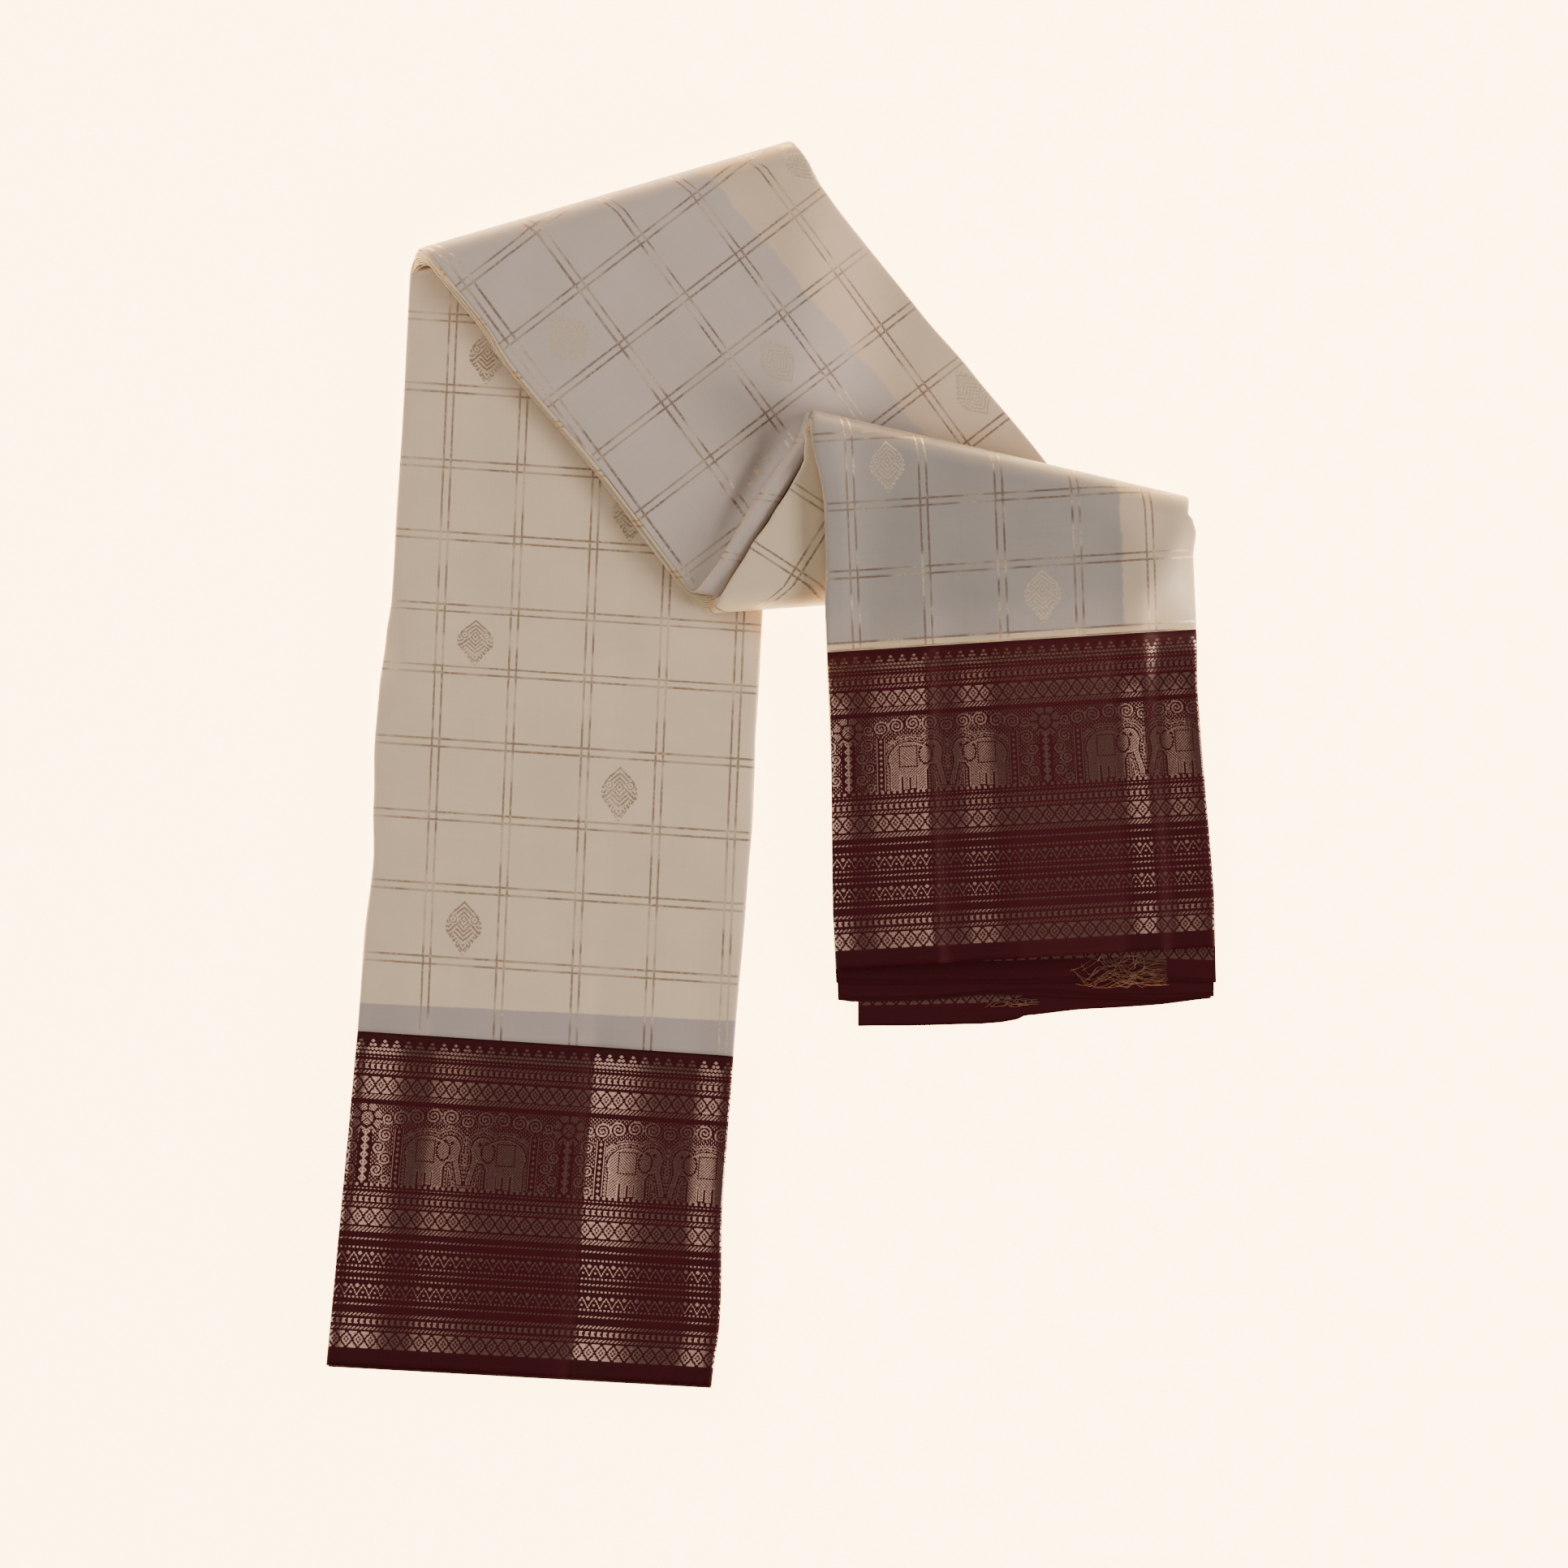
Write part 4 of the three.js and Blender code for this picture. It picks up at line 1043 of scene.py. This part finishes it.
def makePleats():
    stations = pleatStations()
    lengths = pathLengths(stations)
    count = len(stations)
    points, uvs, faces = [], [], []
    for slab in range(pleats["slabs"]):
        low = pleats["top"] + slab * pleats["pitch"]
        inset = pleats["inset"] + (pleats["outerInset"] if slab in (0, pleats["slabs"] - 1) else 0.0)
        leftIn, rightIn = (inset + smoothNoise(count, 9, 0.9) for _ in range(2))
        out = 0.6 + 0.9 * rng.random() if slab else -1.2
        rows = [dict(flatStation("leftBorder", -out / runLength("leftBorder")), calm=True)] + stations[1:]
        first = len(points)
        for i, station in enumerate(rows):
            u, w = slabRing(stationWidth(station), leftIn[i], rightIn[i], low, low + pleats["wall"])
            points.extend(stripPoints(station, u, w))
            uvs.extend(np.column_stack((u, np.full(len(u), lengths[i]))))
        n = len(u)
        for i in range(count - 1):
            for j in range(n):
                a, b = first + i * n + j, first + i * n + (j + 1) % n
                faces.append((a, b, b + n, a + n))
        faces.append(tuple(first + j for j in reversed(range(n))))
        faces.append(tuple(first + (count - 1) * n + j for j in range(n)))
    return shellFrom("pleatStack", points, uvs, faces, "pleatedSilk")


pleatStack = makePleats()
dress(pleatStack, "hidden_layers")
print("pleats made:", len(pleatStack.data.polygons), "faces")

# the turned-over edge beside the turn, an open roll; its cloth starts at a place clear of the buds
turnedLook = {"stations": 60, "round": 25, "turns": (0.96, -0.46), "across": 71.0,
              "lengthwise": 8.1 - 0.234 * 117.9, "long": 117.9}
turnedRows = [  # its left and right outlines in plan, and half its height, in mm
    ((-41.5, 87.9), (-25.6, 84.4), 1.0), ((-37.6, 89.0), (-24.8, 85.6), 3.4),
    ((-27.5, 102.1), (-16.2, 100.2), 4.3), ((-18.2, 118.2), (-6.9, 115.7), 4.4),
    ((-9.6, 133.0), (3.0, 131.2), 4.4), ((0.9, 148.5), (12.9, 147.9), 4.4),
    ((10.9, 162.8), (20.8, 162.2), 4.4), ((14.6, 170.2), (22.4, 169.8), 3.8),
    ((16.6, 175.8), (21.4, 175.2), 2.8), ((17.8, 179.6), (19.6, 179.2), 1.6),
]


def makeTurnedEdge():
    places = [0.0] + list(np.cumsum([math.dist(a[0], b[0]) for a, b in zip(turnedRows, turnedRows[1:])]))
    shares = np.linspace(0, 1, turnedLook["stations"])
    at = shares * places[-1]
    left, right = (np.column_stack([np.interp(at, places, [row[side][k] for row in turnedRows]) for k in (0, 1)])
                   for side in (0, 1))
    rise = np.interp(at, places, [row[2] for row in turnedRows])
    angles = np.linspace(*turnedLook["turns"], turnedLook["round"]) * math.pi
    sections, uvs = [], []
    for a, b, high, share in zip(left, right, rise, shares):
        middle = (a + b) / 2
        xy = middle + np.outer(np.cos(angles), (a - b) / 2)
        top = underside(2, *middle.reshape(2, 1))[0] + strip["depth"]
        sections.append(np.column_stack((xy, top + 0.5 + high + high * np.sin(angles))))
        lengthwise = turnedLook["lengthwise"] + share * turnedLook["long"]
        uvs.append(np.column_stack((np.arange(len(angles)) + turnedLook["across"],
                                    np.full(len(angles), lengthwise))))
    return sheetFromGrid("turnedEdge", np.array(sections), np.array(uvs), "crossingSilk",
                         lambda mesh: sum(p.normal.x for p in mesh.polygons) > 0, sheets["turnedWall"])


turnedEdge = makeTurnedEdge()
dress(turnedEdge, "turned_edge")

# the lower layers that fan out past the right hem: hem lines from the left, in plan, lowest first
hemGrid = {"along": 90, "down": 16, "gap": 0.12}
hemLayers = [
    {"name": "lowestLayerHem", "node": "lowest_layer_hem", "low": 0.0, "layers": 2, "pitch": 1.3, "step": 1.2,
     "hem": [(44.4, -133.9), (75, -133.4), (107.1, -132.8), (118, -131.8), (125.7, -130.2), (130, -128.2),
             (134.9, -127.9), (159.8, -125.7), (197.1, -122.6), (224.9, -119.6)],
     "top": ((44.2, -77.0), (223.9, -68.0))},
    {"name": "thirdLayerHem", "node": "third_layer_hem", "low": 2.9, "layers": 3, "pitch": 0.9, "step": 1.5,
     "hem": [(34.2, -120.6), (40.7, -121.6), (69.3, -121.6), (90, -120.0), (108.3, -117.9), (141.1, -117.9),
             (170, -119.6), (198.0, -120.4), (226.3, -118.9)],
     "top": ((32.6, -77.5), (226.2, -67.8))},
    {"name": "secondLayerHem", "node": "second_layer_hem", "low": 5.8, "layers": 3, "pitch": 0.9, "step": 1.1,
     "hem": [(33.2, -111.6), (75, -111.9), (120.4, -111.6), (160, -110.9), (195.0, -110.4), (227.4, -111.6)],
     "top": ((31.6, -77.6), (226.4, -67.8))},
]


def makeHem(row):
    n, rows = hemGrid["along"], hemGrid["down"]
    hem = np.array(row["hem"], float)
    lengths = np.concatenate(([0], np.cumsum(np.hypot(*np.diff(hem, axis=0).T))))
    shares = np.linspace(0, 1, n)
    curve = np.column_stack([np.interp(shares * lengths[-1], lengths, hem[:, k]) for k in (0, 1)])
    topLine = np.array([between(*row["top"], s) for s in shares])
    points, uvs, faces = [], [], []
    for layer in range(row["layers"]):
        low = row["low"] + layer * row["pitch"]
        back = layer * row["step"] + smoothNoise(n, 12, 0.5)
        edge = curve + np.column_stack((np.zeros(n), back))
        ripple = smoothNoise(n, 10, 0.16) * (low > 0)
        base = len(points)
        for z in (low, low + row["pitch"] - hemGrid["gap"]):
            for s in np.linspace(0, 1, rows):
                line = topLine + (edge - topLine) * s
                x = line[:, 0] + (0.5 - shares) * layer
                points.extend(np.column_stack((x, line[:, 1], z + np.clip(ripple * s, -0.05, 1))))
                fromHem = np.linalg.norm(line - edge, axis=1)
                uvs.extend(np.column_stack((x - hem[0][0] + 1.5, strip["border"] - fromHem)))
        other, last = base + rows * n, (rows - 1) * n
        for i in range(rows - 1):
            for j in range(n - 1):
                a, b = base + i * n + j, other + i * n + j
                faces += [(a, a + n, a + n + 1, a + 1), (b, b + 1, b + n + 1, b + n)]
            for k in (0, n - 1):
                a, b = base + i * n + k, other + i * n + k
                faces.append((a, b, b + n, a + n) if k == 0 else (a, a + n, b + n, b))
        for j in range(n - 1):
            for k in (j, last + j):
                a, b = base + k, other + k
                faces.append((a, a + 1, b + 1, b) if k == j else (a, b, b + 1, a + 1))
    return shellFrom(row["name"], points, uvs, faces, "borderBrocade", 40)


for row in hemLayers:
    dress(makeHem(row), row["node"])
print("hems made")

# loose zari threads at the cut end, each a thin tube that curls and lies on the layer below
threadTufts = [
    {"name": "frayedEndUpper", "node": "frayed_end_upper", "x": 202.0, "y": (-112.6, -98.6), "z": 8.75,
     "comb": 14, "combReach": (6.0, 8.5), "loose": 30, "looseReach": (14, 46), "sway": 4.0,
     "yLimit": (-114, -97.5)},
    {"name": "frayedEndLower", "node": "frayed_end_lower", "x": 136.0, "y": (-123.0, -119.8), "z": 2.95,
     "comb": 4, "combReach": (6, 9), "loose": 9, "looseReach": (10, 24), "sway": 2.0,
     "yLimit": (-126.5, -118.8)},
]
threadRadius = 0.09


def makeTuft(row):
    curve = bpy.data.curves.new(row["name"], "CURVE")
    curve.dimensions = "3D"
    curve.bevel_depth = threadRadius * mm
    curve.bevel_resolution = 1
    curve.resolution_u = 4
    for i in range(row["comb"] + row["loose"]):
        comb = i < row["comb"]
        place = (i + 0.5) / row["comb"] if comb else rng.random()
        y = row["y"][0] + place * (row["y"][1] - row["y"][0])
        reach = rng.uniform(*(row["combReach"] if comb else row["looseReach"]))
        start = 0.0 if comb else rng.uniform(0, 8)
        knots = 6 if comb else 14
        phase, wave = rng.uniform(0, 6.28), rng.uniform(1.2, 2.4)
        spline = curve.splines.new("NURBS")
        spline.points.add(knots - 1)
        spline.use_endpoint_u = True
        spline.order_u = 4
        for k, t in enumerate(np.linspace(0, 1, knots)):
            sway, turns = (0.3, 4) if comb else (row["sway"], 6.28 * wave)
            swing = sway * t * math.sin(phase + turns * t)
            spline.points[k].co = (
                (row["x"] - start - reach * t + (0 if comb else 2.0 * math.sin(phase * 2 + 9 * t))) * mm,
                min(max(y + swing, row["yLimit"][0]), row["yLimit"][1]) * mm,
                (row["z"] + (0.25 if comb else 0.5) * abs(math.sin(phase + 5 * t)) + 0.1 * (i % 4)) * mm, 1)
    piece = bpy.data.objects.new(row["name"], curve)
    bpy.context.collection.objects.link(piece)
    onlySelect(piece)
    bpy.ops.object.convert(target="MESH")
    piece = bpy.context.object
    piece.name = piece.data.name = row["name"]
    piece.data.materials.clear()
    piece.data.materials.append(materials["looseZariThread"])
    bpy.ops.object.shade_smooth()
    piece.select_set(False)
    return piece


for row in threadTufts:
    dress(makeTuft(row), row["node"])
print("threads made")

# what was cut of the cloth that shows in each sheet, in metres; a roll over a fold takes 35 mm of cloth
cuts = {"strip": 0.196, "tucked": 0.190, "layer": 0.192, "border": 0.171, "roll": 0.035, "hemLayer": 0.048,
        "turned": (0.022, 0.115), "slab": 1.16}
for piece, run, rolls in ((leftBorder, None, 0), (leftBody, "leftBody", 0), (crossing, "crossing", 1),
                          (turn, "turn", 1), (rightBody, "rightBody", 1), (rightBorder, None, 0)):
    long = runLength(run) * mm + rolls * cuts["roll"] if run else cuts["border"]
    wide = cuts["tucked" if piece is crossing else "strip"]
for row in hemLayers:
    piece, long = bpy.data.objects[row["name"]], cuts["hemLayer"] * row["layers"]

# floor, light and camera

studio = {
    "floor": "#fbeedb", "floorGrain": "#f1e9dd", "floorGlow": 10.5, "glowTint": "#ffd699",
    "world": "#fff4e4", "worldStrength": 0.06, "lamp": "#fff3e2",
    "softboxes": [  # turn from +X and angle from straight up in degrees, distance, width, height, watts
        (95, 47, 2.4, 2.4, 0.9, 18), (-22, 72, 2.4, 1.0, 0.6, 62), (170, 47, 2.4, 2.2, 0.9, 27),
        (0, 58, 2.4, 2.0, 0.7, 42), (180, 19, 2.6, 1.0, 0.66, 4.0), (90, 24, 2.6, 1.0, 0.4, 1.2),
        (-128, 27, 2.6, 0.6, 0.7, 2.6), (-111, 43, 2.6, 0.6, 0.8, 3.0), (-106, 61, 2.6, 0.6, 0.9, 2.6),
    ],
    "target": (0.0066, -0.010, 0.0),
    "distance": 7.0,
    "frameWidth": 0.8018,
}

bpy.ops.mesh.primitive_plane_add(size=8, location=(0, 0, -0.0002))
floor = bpy.context.object
floor.name = "floor"
floorMaterial, add = newMaterial("paperSweep")
place = add("TexCoord", out="Object")
grain = add("TexNoise", {"Vector": place, "Scale": 400.0, "Detail": 2.0})
plain, grained = (hexColor(studio[key]) for key in ("floor", "floorGrain"))
floorColor = add("Mix RGBA", {0: grain, 6: plain, 7: grained}, out=2)
paper = add("BsdfPrincipled", {"Base Color": floorColor, "Roughness": 0.9, "Specular IOR Level": 0.1,
                               "Emission Color": hexColor(studio["glowTint"]),
                               "Emission Strength": studio["floorGlow"]})
add("OutputMaterial", paper, out=None)
floor.data.materials.append(floorMaterial)
floorMaterial.cycles.emission_sampling = "NONE"

world = bpy.data.worlds.new("studio")
bpy.context.scene.world = world
world.use_nodes = True
background = world.node_tree.nodes["Background"]
background.inputs[0].default_value = hexColor(studio["world"])
background.inputs[1].default_value = studio["worldStrength"]

for i, (turned, tilt, distance, wide, high, watts) in enumerate(studio["softboxes"]):
    light = bpy.data.lights.new(f"softbox{i}", "AREA")
    light.shape = "RECTANGLE"
    light.size, light.size_y = wide, high
    light.energy = watts
    light.color = hexColor(studio["lamp"])[:3]
    holder = bpy.data.objects.new(f"softbox{i}", light)
    bpy.context.collection.objects.link(holder)
    flat = distance * math.sin(math.radians(tilt))
    holder.location = (
        studio["target"][0] + flat * math.cos(math.radians(turned)),
        studio["target"][1] + flat * math.sin(math.radians(turned)),
        distance * math.cos(math.radians(tilt)),
    )
    holder.rotation_euler = (math.radians(tilt), 0, math.radians(turned + 90))

camera = bpy.data.cameras.new("overhead")
camera.sensor_width = 36
camera.lens = 36 * studio["distance"] / studio["frameWidth"]
camera.clip_end = 20
viewer = bpy.data.objects.new("overhead", camera)
bpy.context.collection.objects.link(viewer)
viewer.location = (studio["target"][0], studio["target"][1], studio["distance"])
bpy.context.scene.camera = viewer
print("studio set")
